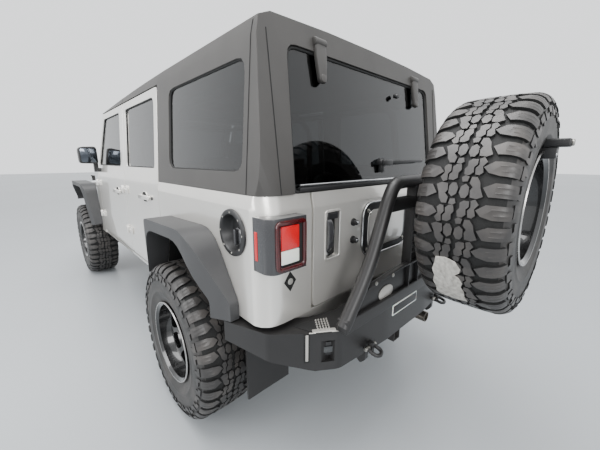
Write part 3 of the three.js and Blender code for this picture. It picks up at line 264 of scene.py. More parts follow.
def pipe(points, radius, sides=4, loop=False):
    """A round tube along a path."""
    points = [Vector(p) for p in points]
    while len(points) < 5:
        points = [p for a, b in zip(points, points[1:]) for p in (a, (a + b) / 2)] + [points[-1]]
    bpy.ops.curve.primitive_nurbs_path_add()
    obj = bpy.context.object
    curve = obj.data
    spline = curve.splines[0]
    spline.type = "POLY"
    spline.points.add(max(0, len(points) - len(spline.points)))
    for point, place in zip(spline.points, points):
        point.co = (*place, 1)
    spline.use_cyclic_u = loop
    curve.dimensions = "3D"
    curve.twist_mode = "MINIMUM"
    curve.bevel_depth = radius
    curve.bevel_resolution = sides
    curve.use_fill_caps = not loop
    only(obj)
    bpy.ops.object.convert(target="MESH")
    return smoothed(closed(bpy.context.object, 1e-6), 50)


def cut(obj, *tools):
    """Takes the tools' shapes out of the object, and removes the tools."""
    for tool in tools:
        modified(obj, "BOOLEAN", operation="DIFFERENCE", object=tool, solver="EXACT")
        bpy.data.objects.remove(tool)
    return obj


def painted(obj, material):
    obj.data.materials.clear()
    obj.data.materials.append(material)
    return obj


def painted_all(material, *objects):
    return [painted(obj, material) for obj in objects]


def joined(*parts):
    only(*parts)
    bpy.ops.object.join()
    return bpy.context.object


def twin(obj, matrix):
    """A copy with its own mesh, moved by the matrix."""
    only(obj)
    bpy.ops.object.duplicate()
    copy = bpy.context.object
    copy.matrix_world = matrix @ copy.matrix_world
    settled(copy)
    return closed(copy, 1e-7) if matrix.determinant() < 0 else copy


def mirrored(obj):
    """A copy on the other side of the car."""
    return twin(obj, Matrix.Scale(-1, 4, (0, 1, 0)))


def copied(node):
    """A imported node's shape as a new piece, its flat faces made whole."""
    only(*list(frame["nodes"].values())[:1])
    bpy.ops.object.add(type="MESH")
    obj = bpy.context.object
    obj.data = frame["nodes"][node].data.copy()
    bpy.ops.mesh.customdata_custom_splitnormals_clear()
    edited(obj, (bpy.ops.mesh.remove_doubles, {"threshold": 2e-4}),
           (bpy.ops.mesh.dissolve_limited, {"angle_limit": math.radians(0.6)}))
    return obj


def panelled(node, edge, segments=2):
    """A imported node's shape with rounded edges and flat-looking flats."""
    obj = rounded(copied(node), edge, segments)
    return modified(obj, "WEIGHTED_NORMAL", mode="FACE_AREA", keep_sharp=True)


def kept(obj, name, body, slot, *replaced):
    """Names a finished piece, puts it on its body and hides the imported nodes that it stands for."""
    obj.name = name
    obj.data.name = name
    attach(obj, body)
    if replaced:
        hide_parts(*replaced)
    return obj


def outer_loop(node, direction, limit=0.8):
    """The corners round a packed pane's face that looks along the direction, in order."""
    mesh = frame["nodes"][node].data
    edges = {}
    for face in mesh.polygons:
        if face.normal.dot(direction) > limit:
            keys = [tuple(round(c, 5) for c in mesh.vertices[v].co) for v in face.vertices]
            for a, b in zip(keys, keys[1:] + keys[:1]):
                if (b, a) in edges:
                    del edges[(b, a)]
                else:
                    edges[(a, b)] = True
    follow = dict(edges.keys())
    start = next(iter(follow))
    loop = [start]
    while follow[loop[-1]] != start and len(loop) < len(follow):
        loop.append(follow[loop[-1]])
    return [Vector(p) for p in loop]


# ---- materials ----------------------------------------------------------------------------------
def add_node(tree, kind, settings=None, links=None):
    """Adds a node; settings are its options and socket values, links feed its sockets."""
    node = tree.nodes.new(kind)
    for key, value in (settings or {}).items():
        if hasattr(node, key):
            setattr(node, key, value)
        else:
            node.inputs[key].default_value = value
    for key, source in (links or {}).items():
        tree.links.new(source, node.inputs[key])
    return node


def shader(name, **sockets):
    """A new material with its principled shader; returns both and a feed of object coordinates."""
    material = bpy.data.materials.new(name)
    material.use_nodes = True
    tree = material.node_tree
    principled = tree.nodes["Principled BSDF"]
    for key, value in sockets.items():
        principled.inputs[key.replace("_", " ")].default_value = value
    place = add_node(tree, "ShaderNodeTexCoord").outputs["Object"]
    return material, tree, principled, place


def noise_of(tree, place, size_mm, detail=3.0, stretch=(1, 1, 1)):
    """Noise whose features are about the given size."""
    scaled = add_node(tree, "ShaderNodeMapping", {"Scale": stretch}, {"Vector": place}).outputs["Vector"]
    texture = add_node(tree, "ShaderNodeTexNoise", {"Scale": 1000 / size_mm, "Detail": detail}, {"Vector": scaled})
    return texture.outputs["Fac"]


def blend_colours(tree, principled, factor, low, high, first, second):
    """Blends two base colours where the factor runs from low to high."""
    share = add_node(tree, "ShaderNodeMapRange", {"From Min": low, "From Max": high}, {"Value": factor})
    mix = add_node(tree, "ShaderNodeMix", {"data_type": "RGBA"}, {"Factor": share.outputs["Result"]})
    mix.inputs[6].default_value = first
    mix.inputs[7].default_value = second
    tree.links.new(mix.outputs[2], principled.inputs["Base Color"])


def vary_roughness(tree, principled, factor, low, high):
    spread = add_node(tree, "ShaderNodeMapRange", {"To Min": low, "To Max": high}, {"Value": factor})
    tree.links.new(spread.outputs["Result"], principled.inputs["Roughness"])


def raise_bumps(tree, principled, height, depth_mm, strength=1.0):
    bump = add_node(tree, "ShaderNodeBump", {"Distance": depth_mm / 1000, "Strength": strength}, {"Height": height})
    tree.links.new(bump.outputs["Normal"], principled.inputs["Normal"])


def shade(colour, factor):
    return (*[min(1.0, c * factor) for c in colour[:3]], 1.0)


def silver_basecoat(colour):
    # Sprayed aluminium-flake basecoat under clear lacquer: a soft metal sheen with a sharp gloss above it.
    material, tree, principled, place = shader(
        "silver basecoat and clear lacquer", Metallic=0.65, Coat_Weight=1.0, Coat_Roughness=0.03)
    blend_colours(tree, principled, noise_of(tree, place, 420), 0.35, 0.65, colour, shade(colour, 0.95))
    # Real flakes are 0.03 mm; they are drawn at 1.5 mm so that they show as a faint sparkle.
    flakes = noise_of(tree, place, 1.5, 1.0)
    vary_roughness(tree, principled, flakes, 0.26, 0.38)
    raise_bumps(tree, principled, flakes, 0.02, 0.3)
    return material


def grained(name, colour, roughness, grain_mm, depth_mm, patch_mm=180, darker=0.86, **sockets):
    material, tree, principled, place = shader(name, **sockets)
    blend_colours(tree, principled, noise_of(tree, place, patch_mm), 0.35, 0.65, colour, shade(colour, darker))
    grain = noise_of(tree, place, grain_mm, 2.0)
    vary_roughness(tree, principled, grain, roughness - 0.08, roughness + 0.08)
    raise_bumps(tree, principled, grain, depth_mm)
    return material


def tinted_glass(name, colour, transmission=1.0):
    # Toughened privacy glass, tinted through: dark, with mirror-sharp reflections.
    material, tree, principled, place = shader(
        name, IOR=1.5, Roughness=0.015, Transmission_Weight=transmission, Base_Color=colour)
    raise_bumps(tree, principled, noise_of(tree, place, 350, 1.0), 0.4, 0.15)
    return material


def lamp_lens(name, colour, glow=0.0):
    # Moulded acrylic lens with small prisms inside it, which break up the light behind.
    material, tree, principled, place = shader(
        name, IOR=1.49, Roughness=0.15, Coat_Weight=0.5, Coat_Roughness=0.02, Base_Color=colour,
        Subsurface_Weight=0.25, Emission_Color=colour, Emission_Strength=glow)
    cells = add_node(tree, "ShaderNodeTexVoronoi", {"Scale": 1000 / 7, "feature": "F1"}, {"Vector": place})
    raise_bumps(tree, principled, cells.outputs["Distance"], 1.2, 0.6)
    return material


def tyre_rubber(name, colour, dusty, shine):
    # Carbon-black tyre rubber, dressed or dry, with dust held in its pores.
    material, tree, principled, place = shader(name, IOR=1.52)
    dust = noise_of(tree, place, 90, 5.0)
    blend_colours(tree, principled, dust, 0.42, 0.72, colour, dusty)
    pores = noise_of(tree, place, 3.0, 3.0)
    vary_roughness(tree, principled, pores, shine, shine + 0.3)
    raise_bumps(tree, principled, pores, 0.4, 0.6)
    return material


def woven_cloth(colour):
    # Flat-woven polyester: crossed yarns, drawn at 3 mm so that the weave shows.
    material, tree, principled, place = shader(
        "woven polyester seat cloth", Roughness=0.92, Sheen_Weight=0.35, Sheen_Roughness=0.5)
    yarn = {"Scale": 1000 / 3 / 6.3, "wave_type": "BANDS", "bands_direction": "X", "Distortion": 0.6}
    warp = add_node(tree, "ShaderNodeTexWave", yarn, {"Vector": place}).outputs["Fac"]
    weft = add_node(tree, "ShaderNodeTexWave", {**yarn, "bands_direction": "Z"}, {"Vector": place}).outputs["Fac"]
    weave = add_node(tree, "ShaderNodeMath", {"operation": "MULTIPLY"}, {0: warp, 1: weft}).outputs["Value"]
    blend_colours(tree, principled, weave, 0.0, 1.0, shade(colour, 0.6), shade(colour, 1.5))
    raise_bumps(tree, principled, weave, 0.5, 0.8)
    return material


def torn_filler(colour):
    # Dried pale sealant smeared over the tread: chalky, with a coarse dragged surface.
    material, tree, principled, place = shader("dried pale sealant", Roughness=0.85)
    drag = noise_of(tree, place, 14, 6.0, (1, 1, 0.4))
    blend_colours(tree, principled, drag, 0.35, 0.7, colour, hex_colour("#8d8a84"))
    raise_bumps(tree, principled, drag, 1.5, 0.8)
    return material


def brushed(name, colour, roughness, patch=0.75):
    # Rolled or turned bare metal: fine marks in one direction and dull stains.
    material, tree, principled, place = shader(name, Metallic=1.0)
    blend_colours(tree, principled, noise_of(tree, place, 60, 4.0), 0.4, 0.7, colour, shade(colour, patch))
    marks = noise_of(tree, place, 1.5, 2.0, (0.05, 1, 1))
    vary_roughness(tree, principled, marks, roughness - 0.06, roughness + 0.1)
    raise_bumps(tree, principled, marks, 0.05, 0.4)
    return material


FINISHES = {}


def make_finishes(chosen):
    """Makes every material once; pieces then take them from FINISHES."""
    FINISHES.update({
        "paint": silver_basecoat(tuple(chosen.paint)),
        # Textured two-pack paint on moulded fibreglass: an even satin stipple.
        "hardtop": grained("textured hardtop paint", tuple(chosen.hardtop), 0.5, 2.2, 0.12),
        # Injection-moulded polypropylene with a leather-like mould grain.
        "flare": grained("moulded grey polypropylene", tuple(chosen.flare), 0.5, 2.5, 0.15),
        # Fine-textured polyester powder coat baked on steel.
        "steelwork": grained("satin black powder coat", tuple(chosen.steelwork), 0.42, 2.0, 0.08, Metallic=0.2),
        # Chassis enamel under road dust.
        "chassis": grained("dusty black chassis enamel", hex_colour("#232221"), 0.65, 6.0, 0.4, 90, 1.7),
        # Black ABS with a fine moulded grain.
        "trim": grained("black moulded ABS", hex_colour("#1d1d1e"), 0.45, 2.0, 0.1),
        # Extruded EPDM rubber seal, matt.
        "seal": grained("black EPDM seal", hex_colour("#131313"), 0.7, 4.0, 0.1),
        # Matt black for seams, recesses, badges and lamp backs; beside the rear bumper's corner seam it is a painted
        # shadow.
        "dark": grained("matt black and painted shadow", hex_colour("#0b0b0b"), 0.8, 4.0, 0.2),
        # Sprayed underbody coating: matt black and rough.
        "liner": grained("black underbody coating", hex_colour("#161616"), 0.75, 5.0, 0.5),
        "bezel": grained("dark grey lamp bezel", hex_colour("#333335"), 0.25, 3.0, 0.05, Coat_Weight=0.4),
        "glass": tinted_glass("privacy glass", hex_colour("#474b4d")),
        "clear": tinted_glass("clear polycarbonate", hex_colour("#f4f6f6")),
        "red": lamp_lens("red acrylic lens", hex_colour("#c20d16"), 0.12),
        "deep_red": lamp_lens("dark red acrylic frame", hex_colour("#3c080b")),
        "white": lamp_lens("clear white acrylic lens", hex_colour("#e4dfd6"), 0.12),
        "amber": lamp_lens("amber acrylic lens", hex_colour("#d9791c")),
        "rubber": tyre_rubber("dressed tread rubber", tuple(chosen.rubber), hex_colour("#46423f"), 0.28),
        "wall": tyre_rubber("black sidewall rubber", hex_colour("#262524"), hex_colour("#3a3735"), 0.42),
        # Painted shade: near-black rubber on the tread blocks' sides and on the carcass between them, where the grooves
        # lie in shade.
        "groove": tyre_rubber("near-black rubber as painted groove shade", hex_colour("#0a0a0a"), hex_colour("#121211"), 0.65),
        # Cast alloy with gloss black enamel.
        "rim": grained("gloss black alloy enamel", tuple(chosen.rim), 0.25, 5.0, 0.05, Coat_Weight=0.8, Metallic=0.3),
        # Painted highlight: a pale ring on the rim's flange edge, standing in for the bright reflection along it.
        "lip": brushed("pale alloy lip as painted highlight", hex_colour("#b9b7b5"), 0.25),
        "chrome": brushed("chromed steel", hex_colour("#d6d7d8"), 0.14, 0.9),
        "zinc": brushed("zinc plated steel", hex_colour("#a9a7a1"), 0.35),
        "exhaust": brushed("stained stainless steel", hex_colour("#8c857d"), 0.4, 0.5),
        "casting": grained("rough cast iron", hex_colour("#5d5b58"), 0.6, 8.0, 0.8, Metallic=0.6),
        "cloth": woven_cloth(tuple(chosen.cloth)),
        # Soft-touch vinyl dashboard skin.
        "vinyl": grained("soft black vinyl", hex_colour("#232324"), 0.6, 3.0, 0.25),
        "mirror": brushed("dimmed mirror glass", hex_colour("#5a5f66"), 0.08, 0.98),
        "screen": grained("dark display glass", hex_colour("#0d1114"), 0.15, 40.0, 0.01, Coat_Weight=1.0),
        # Pale anodised metal for badge centres, an emblem and step teeth; along the rear bumper's top edge and corner
        # seam it is painted highlight.
        "strip": grained("pale anodised metal and painted highlight", hex_colour("#b7b4ae"), 0.35, 3.0, 0.1, Metallic=0.5),
        "filler": torn_filler(hex_colour("#bdbab3")),
    })


# ---- stage --------------------------------------------------------------------------------------
class OffroadStage(bpy.types.Operator):
    """Pale floor, soft lights and the camera."""

    bl_idname = "offroad.stage"
    bl_label = "Stage"

    def execute(self, context):
        bpy.ops.mesh.primitive_plane_add(size=80, location=(0, 0, 0))
        floor = bpy.context.object
        floor.name = "floor"
        painted(floor, grained("pale studio floor", hex_colour("#a6aaad"), 0.35, 30.0, 0.05, 3000, 0.93))
        world = bpy.data.worlds.new("studio")
        world.use_nodes = True
        world.node_tree.nodes["Background"].inputs["Color"].default_value = hex_colour("#f6f8fa")
        world.node_tree.nodes["Background"].inputs["Strength"].default_value = 1.7
        context.scene.world = world
        for name, place, size, power in (
                ("top_softbox", (-1.0, 1.0, 5.5), 4.0, 420),
                ("rear_softbox", (-6.5, 2.5, 3.2), 2.0, 160),
                ("side_softbox", (0.5, 6.5, 3.0), 3.0, 220)):
            bpy.ops.object.light_add(type="AREA", location=place)
            light = bpy.context.object
            light.name = name
            light.data.size = size
            light.data.energy = power
            light.rotation_euler = (-Vector(place) + UP).to_track_quat("-Z", "Y").to_euler()
        bpy.ops.object.camera_add(location=(-2.726, 1.415, 1.437))
        camera = bpy.context.object
        yaw, pitch = math.radians(-43.33), math.radians(-12.57)
        ahead = Vector((math.cos(yaw) * math.cos(pitch), math.sin(yaw) * math.cos(pitch), math.sin(pitch)))
        camera.rotation_euler = ahead.to_track_quat("-Z", "Y").to_euler()
        camera.data.sensor_width = 36
        camera.data.lens = 17.53
        camera.data.clip_start = 0.05
        context.scene.camera = camera
        return {"FINISHED"}


# ---- panels -------------------------------------------------------------------------------------
def rolled_top(obj, roll_z=1.232, depth=0.014):
    """Rolls the rear panel's top band forward, above a crease."""
    for z in (roll_z, roll_z + 0.012):
        edited(obj, (bpy.ops.mesh.bisect, {"plane_co": (0, 0, z), "plane_no": (0, 0, 1)}))
    for vertex in obj.data.vertices:
        rise = (vertex.co.z - roll_z) / (BELT - roll_z)
        if rise > 0:
            vertex.co.x += depth * min(1.0, rise) * min(1.0, max(0.0, (-1.74 - vertex.co.x) / 0.09))


def line_arches(obj, reach=0.66):
    """Gives the wheelhouses round the tyres their black liner."""
    obj.data.materials.append(FINISHES["liner"])
    for face in obj.data.polygons:
        place = face.center
        for hub in (FRONT_HUB, REAR_HUB):
            if math.hypot(place.x - hub.x, place.z - hub.z) < reach and abs(place.y) < BODY_SIDE - 0.012:
                if 0.5 < abs(place.y) and place.z < 1.16:
                    face.material_index = 1


class OffroadPanels(bpy.types.Operator):
    """Tub, doors, hood, fenders, windscreen frame and tailgate, with folded panel edges."""

    bl_idname = "offroad.panels"
    bl_label = "Painted panels"

    def execute(self, context):
        edge = context.scene.offroad_sizes.panel_edge
        paint = FINISHES["paint"]
        pieces = [("body_tub", "body"), ("windshield_frame", "body"), ("hood", "hood"), ("tailgate", "tailgate")]
        for side, _ in SIDES:
            pieces.append((f"front_fender_{side}", "body"))
            pieces.append((f"front_door_{side}", f"front_{side}_door"))
            pieces.append((f"rear_door_{side}", f"rear_{side}_door"))
        for node, body in pieces:
            obj = copied(node)
            if node in ("body_tub", "tailgate"):
                rolled_top(obj)
            modified(rounded(obj, edge), "WEIGHTED_NORMAL", mode="FACE_AREA", keep_sharp=True)
            painted(obj, paint)
            if node == "body_tub" or node.startswith("front_fender"):
                line_arches(obj)
            kept(obj, f"{node}_panel", body, "body_paint", node)
        return {"FINISHED"}


class OffroadHardtop(bpy.types.Operator):
    """The removable top in two sections, with its corner seams."""

    bl_idname = "offroad.hardtop"
    bl_label = "Hardtop"

    def execute(self, context):
        top = FINISHES["hardtop"]
        seams = []
        for _, sign in SIDES:
            for start, aim, heights in (((-1.760, sign * 2, 0), Vector((0, -sign, 0)), (1.306, 1.925)),
                                        ((-3, sign * 0.700, 0), -BACK, (1.306, 1.90))):
                path = []
                for i in range(25):
                    z = heights[0] + (heights[1] - heights[0]) * i / 24
                    hit, place, _, _ = frame["nodes"]["hardtop"].ray_cast(Vector(start) + UP * z, aim)
                    if hit:
                        path.append(place)
                seams.append(pipe(path, 0.0022, 2))
        kept(painted(joined(*seams), FINISHES["dark"]), "hardtop_seams", "body", "black_trim")
        for node in ("hardtop", "roof_front_panel"):
            kept(painted(panelled(node, 0.012, 3), top), f"{node}_shell", "body", "hardtop_shell", node)
        return {"FINISHED"}


class OffroadFlares(bpy.types.Operator):
    """The four moulded wheel flares, with rounded lips."""

    bl_idname = "offroad.flares"
    bl_label = "Flares"

    def execute(self, context):
        for end in ("front", "rear"):
            for side, _ in SIDES:
                node = f"{end}_flare_{side}"
                kept(painted(panelled(node, 0.016, 4), FINISHES["flare"]), f"{node}_moulding", "body",
                     "flare_plastic", node)
        return {"FINISHED"}


# ---- glass --------------------------------------------------------------------------------------
GLASS_BODIES = {
    "windshield_glass": "body", "rear_glass": "body",
    "quarter_glass_left": "body", "quarter_glass_right": "body",
    "front_door_glass_left": "front_left_door", "front_door_glass_right": "front_right_door",
    "rear_door_glass_left": "rear_left_door", "rear_door_glass_right": "rear_right_door",
}


class OffroadGlass(bpy.types.Operator):
    """Tints every pane and lays a rubber seal round it."""

    bl_idname = "offroad.glass"
    bl_label = "Glass and seals"

    def execute(self, context):
        radius = context.scene.offroad_sizes.gasket
        for node, body in GLASS_BODIES.items():
            pane = frame["nodes"][node]
            pane.data.materials.clear()
            pane.data.materials.append(FINISHES["glass"])
            if node == "rear_glass":
                outward = BACK
            elif node == "windshield_glass":
                outward = -BACK
            else:
                outward = Vector((0, 1 if node.endswith("left") else -1, 0))
            loop = outer_loop(node, outward)
            seal = pipe(loop, radius, 3, True)
            kept(painted(seal, FINISHES["seal"]), f"{node}_seal", body, "black_trim")
        return {"FINISHED"}


# ---- wheels -------------------------------------------------------------------------------------
CARCASS = [  # the tyre's outer wall under its tread, (height over the axle, distance from the middle), mm
    (430, 0), (429.5, 60), (427.5, 100), (422, 120), (412, 133), (397, 142), (372, 150), (345, 154),
    (318, 154), (296, 152), (292, 154), (286, 154), (282, 151), (255, 143), (236, 136), (222, 133)]
TREAD_TOP = 440.5
TREAD_FLOOR = 0.405


def meridian():
    """The carcass wall as lengths along it from the middle, points and outward directions."""
    points = np.array(CARCASS, float)
    steps = np.diff(points, axis=0)
    lengths = np.concatenate([[0], np.cumsum(np.hypot(*steps.T))])
    slopes = np.gradient(points, lengths, axis=0)
    outward = np.stack([slopes[:, 1], -slopes[:, 0]], axis=1)
    outward /= np.linalg.norm(outward, axis=1)[:, None]
    return lengths, points, outward


def wrap(flat, radius):
    """Lays flat tread (length round, distance across, height), mm, over the carcass, as metres."""
    lengths, points, outward = meridian()
    across = np.abs(flat[:, 1])
    base = np.stack([np.interp(across, lengths, points[:, i]) for i in (0, 1)], axis=1)
    lift = np.stack([np.interp(across, lengths, outward[:, i]) for i in (0, 1)], axis=1)
    lift /= np.linalg.norm(lift, axis=1)[:, None]
    place = base + lift * flat[:, 2:3]
    turn = flat[:, 0] / radius
    return np.stack([
        place[:, 0] * np.cos(turn), place[:, 1] * np.sign(flat[:, 1] + 1e-9), place[:, 0] * np.sin(turn)],
        axis=1) / 1000


# One pitch of the tread's left half: outlines of (share of the pitch, mm across).
SHOULDER_LUGS = [
    [(0.02, 104), (0.08, 74), (0.20, 60), (0.33, 84), (0.33, 150), (0.252, 152), (0.252, 100), (0.238, 100),
     (0.238, 152), (0.122, 152), (0.122, 106), (0.108, 106), (0.108, 152), (0.02, 150)],
    [(0.53, 86), (0.72, 70), (0.83, 98), (0.83, 158), (0.752, 160), (0.752, 104), (0.738, 104), (0.738, 160),
     (0.622, 160), (0.622, 102), (0.608, 102), (0.608, 160), (0.53, 158)]]
CENTRE_BLOCKS = [
    [(0.02, 9), (0.14, 6), (0.22, 13), (0.34, 12), (0.39, 22), (0.38, 36), (0.27, 37), (0.20, 29), (0.08, 31),
     (0.01, 21)],
    [(0.03, 40), (0.17, 37), (0.25, 45), (0.40, 43), (0.43, 53), (0.33, 63), (0.22, 53), (0.08, 58), (0.02, 50)],
    [(0.47, 12), (0.58, 4), (0.72, 7), (0.78, 18), (0.71, 28), (0.55, 29), (0.47, 22)],
    [(0.49, 38), (0.64, 35), (0.72, 41), (0.82, 30), (0.95, 33), (0.95, 46), (0.84, 56), (0.70, 60), (0.52, 70),
     (0.47, 56)],
    [(0.85, 8), (0.94, 4), (0.985, 12), (0.96, 23), (0.86, 20)]]
SIDE_BITERS = [
    [(0.06, 168), (0.40, 168), (0.40, 186), (0.30, 200), (0.22, 200), (0.22, 184), (0.06, 184)],
    [(0.56, 170), (0.66, 170), (0.70, 182), (0.92, 182), (0.92, 198), (0.60, 198), (0.54, 186)]]


def flat_blocks(outlines, pitch, height, chamfer, gap=1.3):
    """Raised blocks from their outlines, drawn in by the gap, each with a chamfered top; mm."""
    parts = []
    for corners in outlines:
        obj = outline_mesh([(u * pitch, v, -2.0) for u, v in corners], True)
        only(obj)
        bpy.ops.object.mode_set(mode="EDIT")
        bpy.ops.mesh.select_all(action="SELECT")
        bpy.ops.mesh.inset(thickness=gap)
        bpy.ops.mesh.select_all(action="INVERT")
        bpy.ops.mesh.delete(type="FACE")
        bpy.ops.object.mode_set(mode="OBJECT")
        edited(obj, (bpy.ops.mesh.extrude_region_move,
                     {"TRANSFORM_OT_translate": {"value": (0, 0, height + 2.0 - chamfer)}}),
               (bpy.ops.mesh.normals_make_consistent, {"inside": False}))
        only(obj)
        for face in obj.data.polygons:
            face.select = face.normal.z > 0.9
        bpy.ops.object.mode_set(mode="EDIT")
        bpy.ops.mesh.select_mode(type="FACE")
        bpy.ops.mesh.inset(thickness=chamfer * 0.8, depth=chamfer)
        bpy.ops.mesh.select_mode(type="VERT")
        bpy.ops.object.mode_set(mode="OBJECT")
        # Block tops keep the tread rubber; the block sides take the near-black groove rubber, painted shade down the
        # sides of the blocks.
        painted_all(FINISHES["rubber"], obj)
        obj.data.materials.append(FINISHES["groove"])
        for face in obj.data.polygons:
            face.material_index = 0 if face.normal.z > 0.5 else 1
        parts.append(obj)
    return joined(*parts)


def tread(sizes):
    """All tread blocks of a tyre turning about Y at the origin."""
    radius = TREAD_TOP
    count = sizes.tread_pitches
    pitch = 2 * math.pi * radius / count
    depth = sizes.tread_depth * 1000 - (13 - (TREAD_TOP - CARCASS[0][0]))
    lugs = flat_blocks(SHOULDER_LUGS, pitch, depth, 1.6)
    cuts = []
    for across in (100, 116, 126, 136, 146):
        cuts.append((bpy.ops.mesh.bisect, {"plane_co": (0, across, 0), "plane_no": (0, 1, 0)}))
    edited(lugs, *cuts)
    centre = flat_blocks(CENTRE_BLOCKS, pitch, depth, 1.6)
    biters = flat_blocks(SIDE_BITERS, pitch, 5.0, 1.2)
    half = joined(lugs, centre, biters)
    other = twin(half, Matrix.Rotation(math.pi, 4, "Z"))
    other.data.transform(Matrix.Translation((pitch * 1.27, 0, 0)))
    whole = joined(half, other)
    modified(whole, "ARRAY", count=count, use_relative_offset=False, use_constant_offset=True,
             constant_offset_displace=(pitch, 0, 0))
    flat = np.zeros(len(whole.data.vertices) * 3)
    whole.data.vertices.foreach_get("co", flat)
    laid = wrap(flat.reshape(-1, 3), radius)
    whole.data.vertices.foreach_set("co", laid.ravel())
    whole.data.update()
    return smoothed(edited(whole, (bpy.ops.mesh.normals_make_consistent, {"inside": False})), 25)


def carcass():
    wall = [(r / 1000, y / 1000) for r, y in CARCASS]
    bead = [(0.2165, 0.128), (0.2165, -0.128)]
    profile = wall + bead + [(r, -y) for r, y in reversed(wall[1:])]
    obj = painted(ring(profile, (0, 0, 0), steps=96), FINISHES["wall"])
    # The carcass under the tread takes the near-black groove rubber: painted shade in the grooves between the blocks.
    obj.data.materials.append(FINISHES["groove"])
    for face in obj.data.polygons:
        face.material_index = 1 if math.hypot(face.center.x, face.center.z) > TREAD_FLOOR else 0
    return obj


def rim(sizes):
    """A deep-dish rim turning about Y at the origin, its face towards +Y."""
    flange, bed, well = 0.2265, 0.2125, 0.187
    half = 0.147
    barrel = ring([
        (flange, -half), (flange, -half + 0.007), (bed + 0.003, -half + 0.012), (bed, -half + 0.03),
        (bed, -0.05), (well + 0.008, -0.03), (well + 0.008, 0.03), (bed, 0.05), (bed, half - 0.03),
        (bed + 0.003, half - 0.012), (flange, half - 0.007), (flange, half), (flange - 0.006, half + 0.001),
        (bed - 0.006, half - 0.012), (bed - 0.010, 0.06), (well, 0.04), (well, -0.04), (bed - 0.010, -0.06),
        (bed - 0.008, -half + 0.012), (flange - 0.006, -half)], (0, 0, 0), steps=72)
    painted(barrel, FINISHES["rim"])
    # Painted highlight: the pale ring along the flange edge.
    lip = painted(ring([
        (flange + 0.0005, half - 0.006), (flange + 0.002, half - 0.002), (flange, half + 0.002),
        (flange - 0.005, half + 0.0015)], (0, 0, 0), steps=72), FINISHES["lip"])
    disc = ring([
        (0.036, 0.004), (0.090, 0.004), (0.150, 0.028), (well + 0.004, 0.052), (well + 0.004, 0.075),
        (0.150, 0.055), (0.095, 0.030), (0.080, 0.026), (0.036, 0.026)], (0, 0, 0), steps=72)
    windows = []
    for i in range(sizes.spokes):
        window = plate([(-0.020, -0.05, 0.100), (0.020, -0.05, 0.100), (0.052, -0.05, 0.160),
                        (0.046, -0.05, 0.178), (0, -0.05, 0.184), (-0.046, -0.05, 0.178),
                        (-0.052, -0.05, 0.160)], (0, 0.2, 0), 0.010, 2)
        window.data.transform(Matrix.Rotation(2 * math.pi * i / sizes.spokes, 4, "Y"))
        windows.append(window)
    cut(disc, *windows)
    rounded(disc, 0.0025, 2, 40)
    painted(disc, FINISHES["rim"])
    cap = painted(ring([(0, 0.052), (0.026, 0.050), (0.033, 0.042), (0.0345, 0.022), (0, 0.022)],
                       (0, 0, 0), steps=36), FINISHES["trim"])
    nuts = []
    for i in range(5):
        turn = 2 * math.pi * i / 5
        x, z = 0.0635 * math.cos(turn), 0.0635 * math.sin(turn)
        nuts.append(painted(bar(0.0105, (x, 0.024, z), (x, 0.044, z), 6, 0.0012), FINISHES["chrome"]))
        nuts.append(painted(bar(0.0135, (x, 0.024, z), (x, 0.029, z), 16, 0.001), FINISHES["chrome"]))
    return joined(*nuts, cap, lip, disc, barrel)


WHEELS = [(f"{end}_{side}", f"{end}_{side}_wheel") for end in ("front", "rear") for side, _ in SIDES]
WHEELS.append(("spare", "carrier"))


class OffroadWheels(bpy.types.Operator):
    """Five tyres with moulded tread and five deep-dish rims."""

    bl_idname = "offroad.wheels"
    bl_label = "Tyres and rims"

    def execute(self, context):
        sizes = context.scene.offroad_sizes
        master_tyre = joined(tread(sizes), carcass())
        master_rim = rim(sizes)
        for index, (name, body) in enumerate(WHEELS):
            turn = {"left": 0, "right": math.pi}.get(name.split("_")[-1], math.pi / 2)
            roll = Matrix.Rotation(0.7 * index, 4, "Y")
            place = Matrix.Translation(middle(f"{name}_tyre")) @ Matrix.Rotation(turn, 4, "Z") @ roll
            if name == "spare":
                place.translation.z = SPARE.z
            else:
                place.translation.z = REAR_HUB.z
            kept(twin(master_tyre, place), f"{name}_tyre_tread", body, "tyre_rubber", f"{name}_tyre")
            kept(twin(master_rim, place), f"{name}_rim_cast", body, "black_alloy", f"{name}_rim")
        for master in (master_tyre, master_rim):
            bpy.data.objects.remove(master)
        return {"FINISHED"}


# ---- small shared shapes ------------------------------------------------------------------------
def rounded_rectangle(centre, width, height, radius, steps=5):
    """Corner-rounded rectangle outline as (across, up) pairs."""
    points = []
    for quarter, (sx, sy) in enumerate(((1, 1), (-1, 1), (-1, -1), (1, -1))):
        corner = (centre[0] + sx * (width / 2 - radius), centre[1] + sy * (height / 2 - radius))
        for i in range(steps + 1):
            turn = math.pi / 2 * (quarter + i / steps)
            points.append((corner[0] + radius * math.cos(turn), corner[1] + radius * math.sin(turn)))
    return points


def rear_plate(x, outline, thickness, edge=0.002):
    """A plate on a rear-facing surface, from its (y, z) outline, standing proud of x."""
    return plate([(x, y, z) for y, z in outline], (-thickness, 0, 0), edge)


def leaned(obj):
    """Leans an upright piece forward with the hardtop's rear face."""
    for vertex in obj.data.vertices:
        vertex.co.x += REAR_LEAN * (vertex.co.z - BELT)
    return obj


def bolt(place, axis, radius, material, height=0.006):
    """A hexagon bolt head on its washer."""
    place, axis = Vector(place), Vector(axis)
    washer = bar(radius * 1.35, place - axis * 0.002, place + axis * 0.0015, 16, 0.0005)
    head = bar(radius, place, place + axis * height, 6, 0.0008)
    return joined(*painted_all(FINISHES[material], washer, head))


def pair(name, slot, body, left, *nodes):
    """A finished left piece and its mirror image; body and nodes hold {} where the side goes."""
    right = mirrored(left)
    for obj, (side, _) in zip((left, right), SIDES):
        kept(obj, name.format(side), body.format(side), slot, *[node.format(side) for node in nodes])


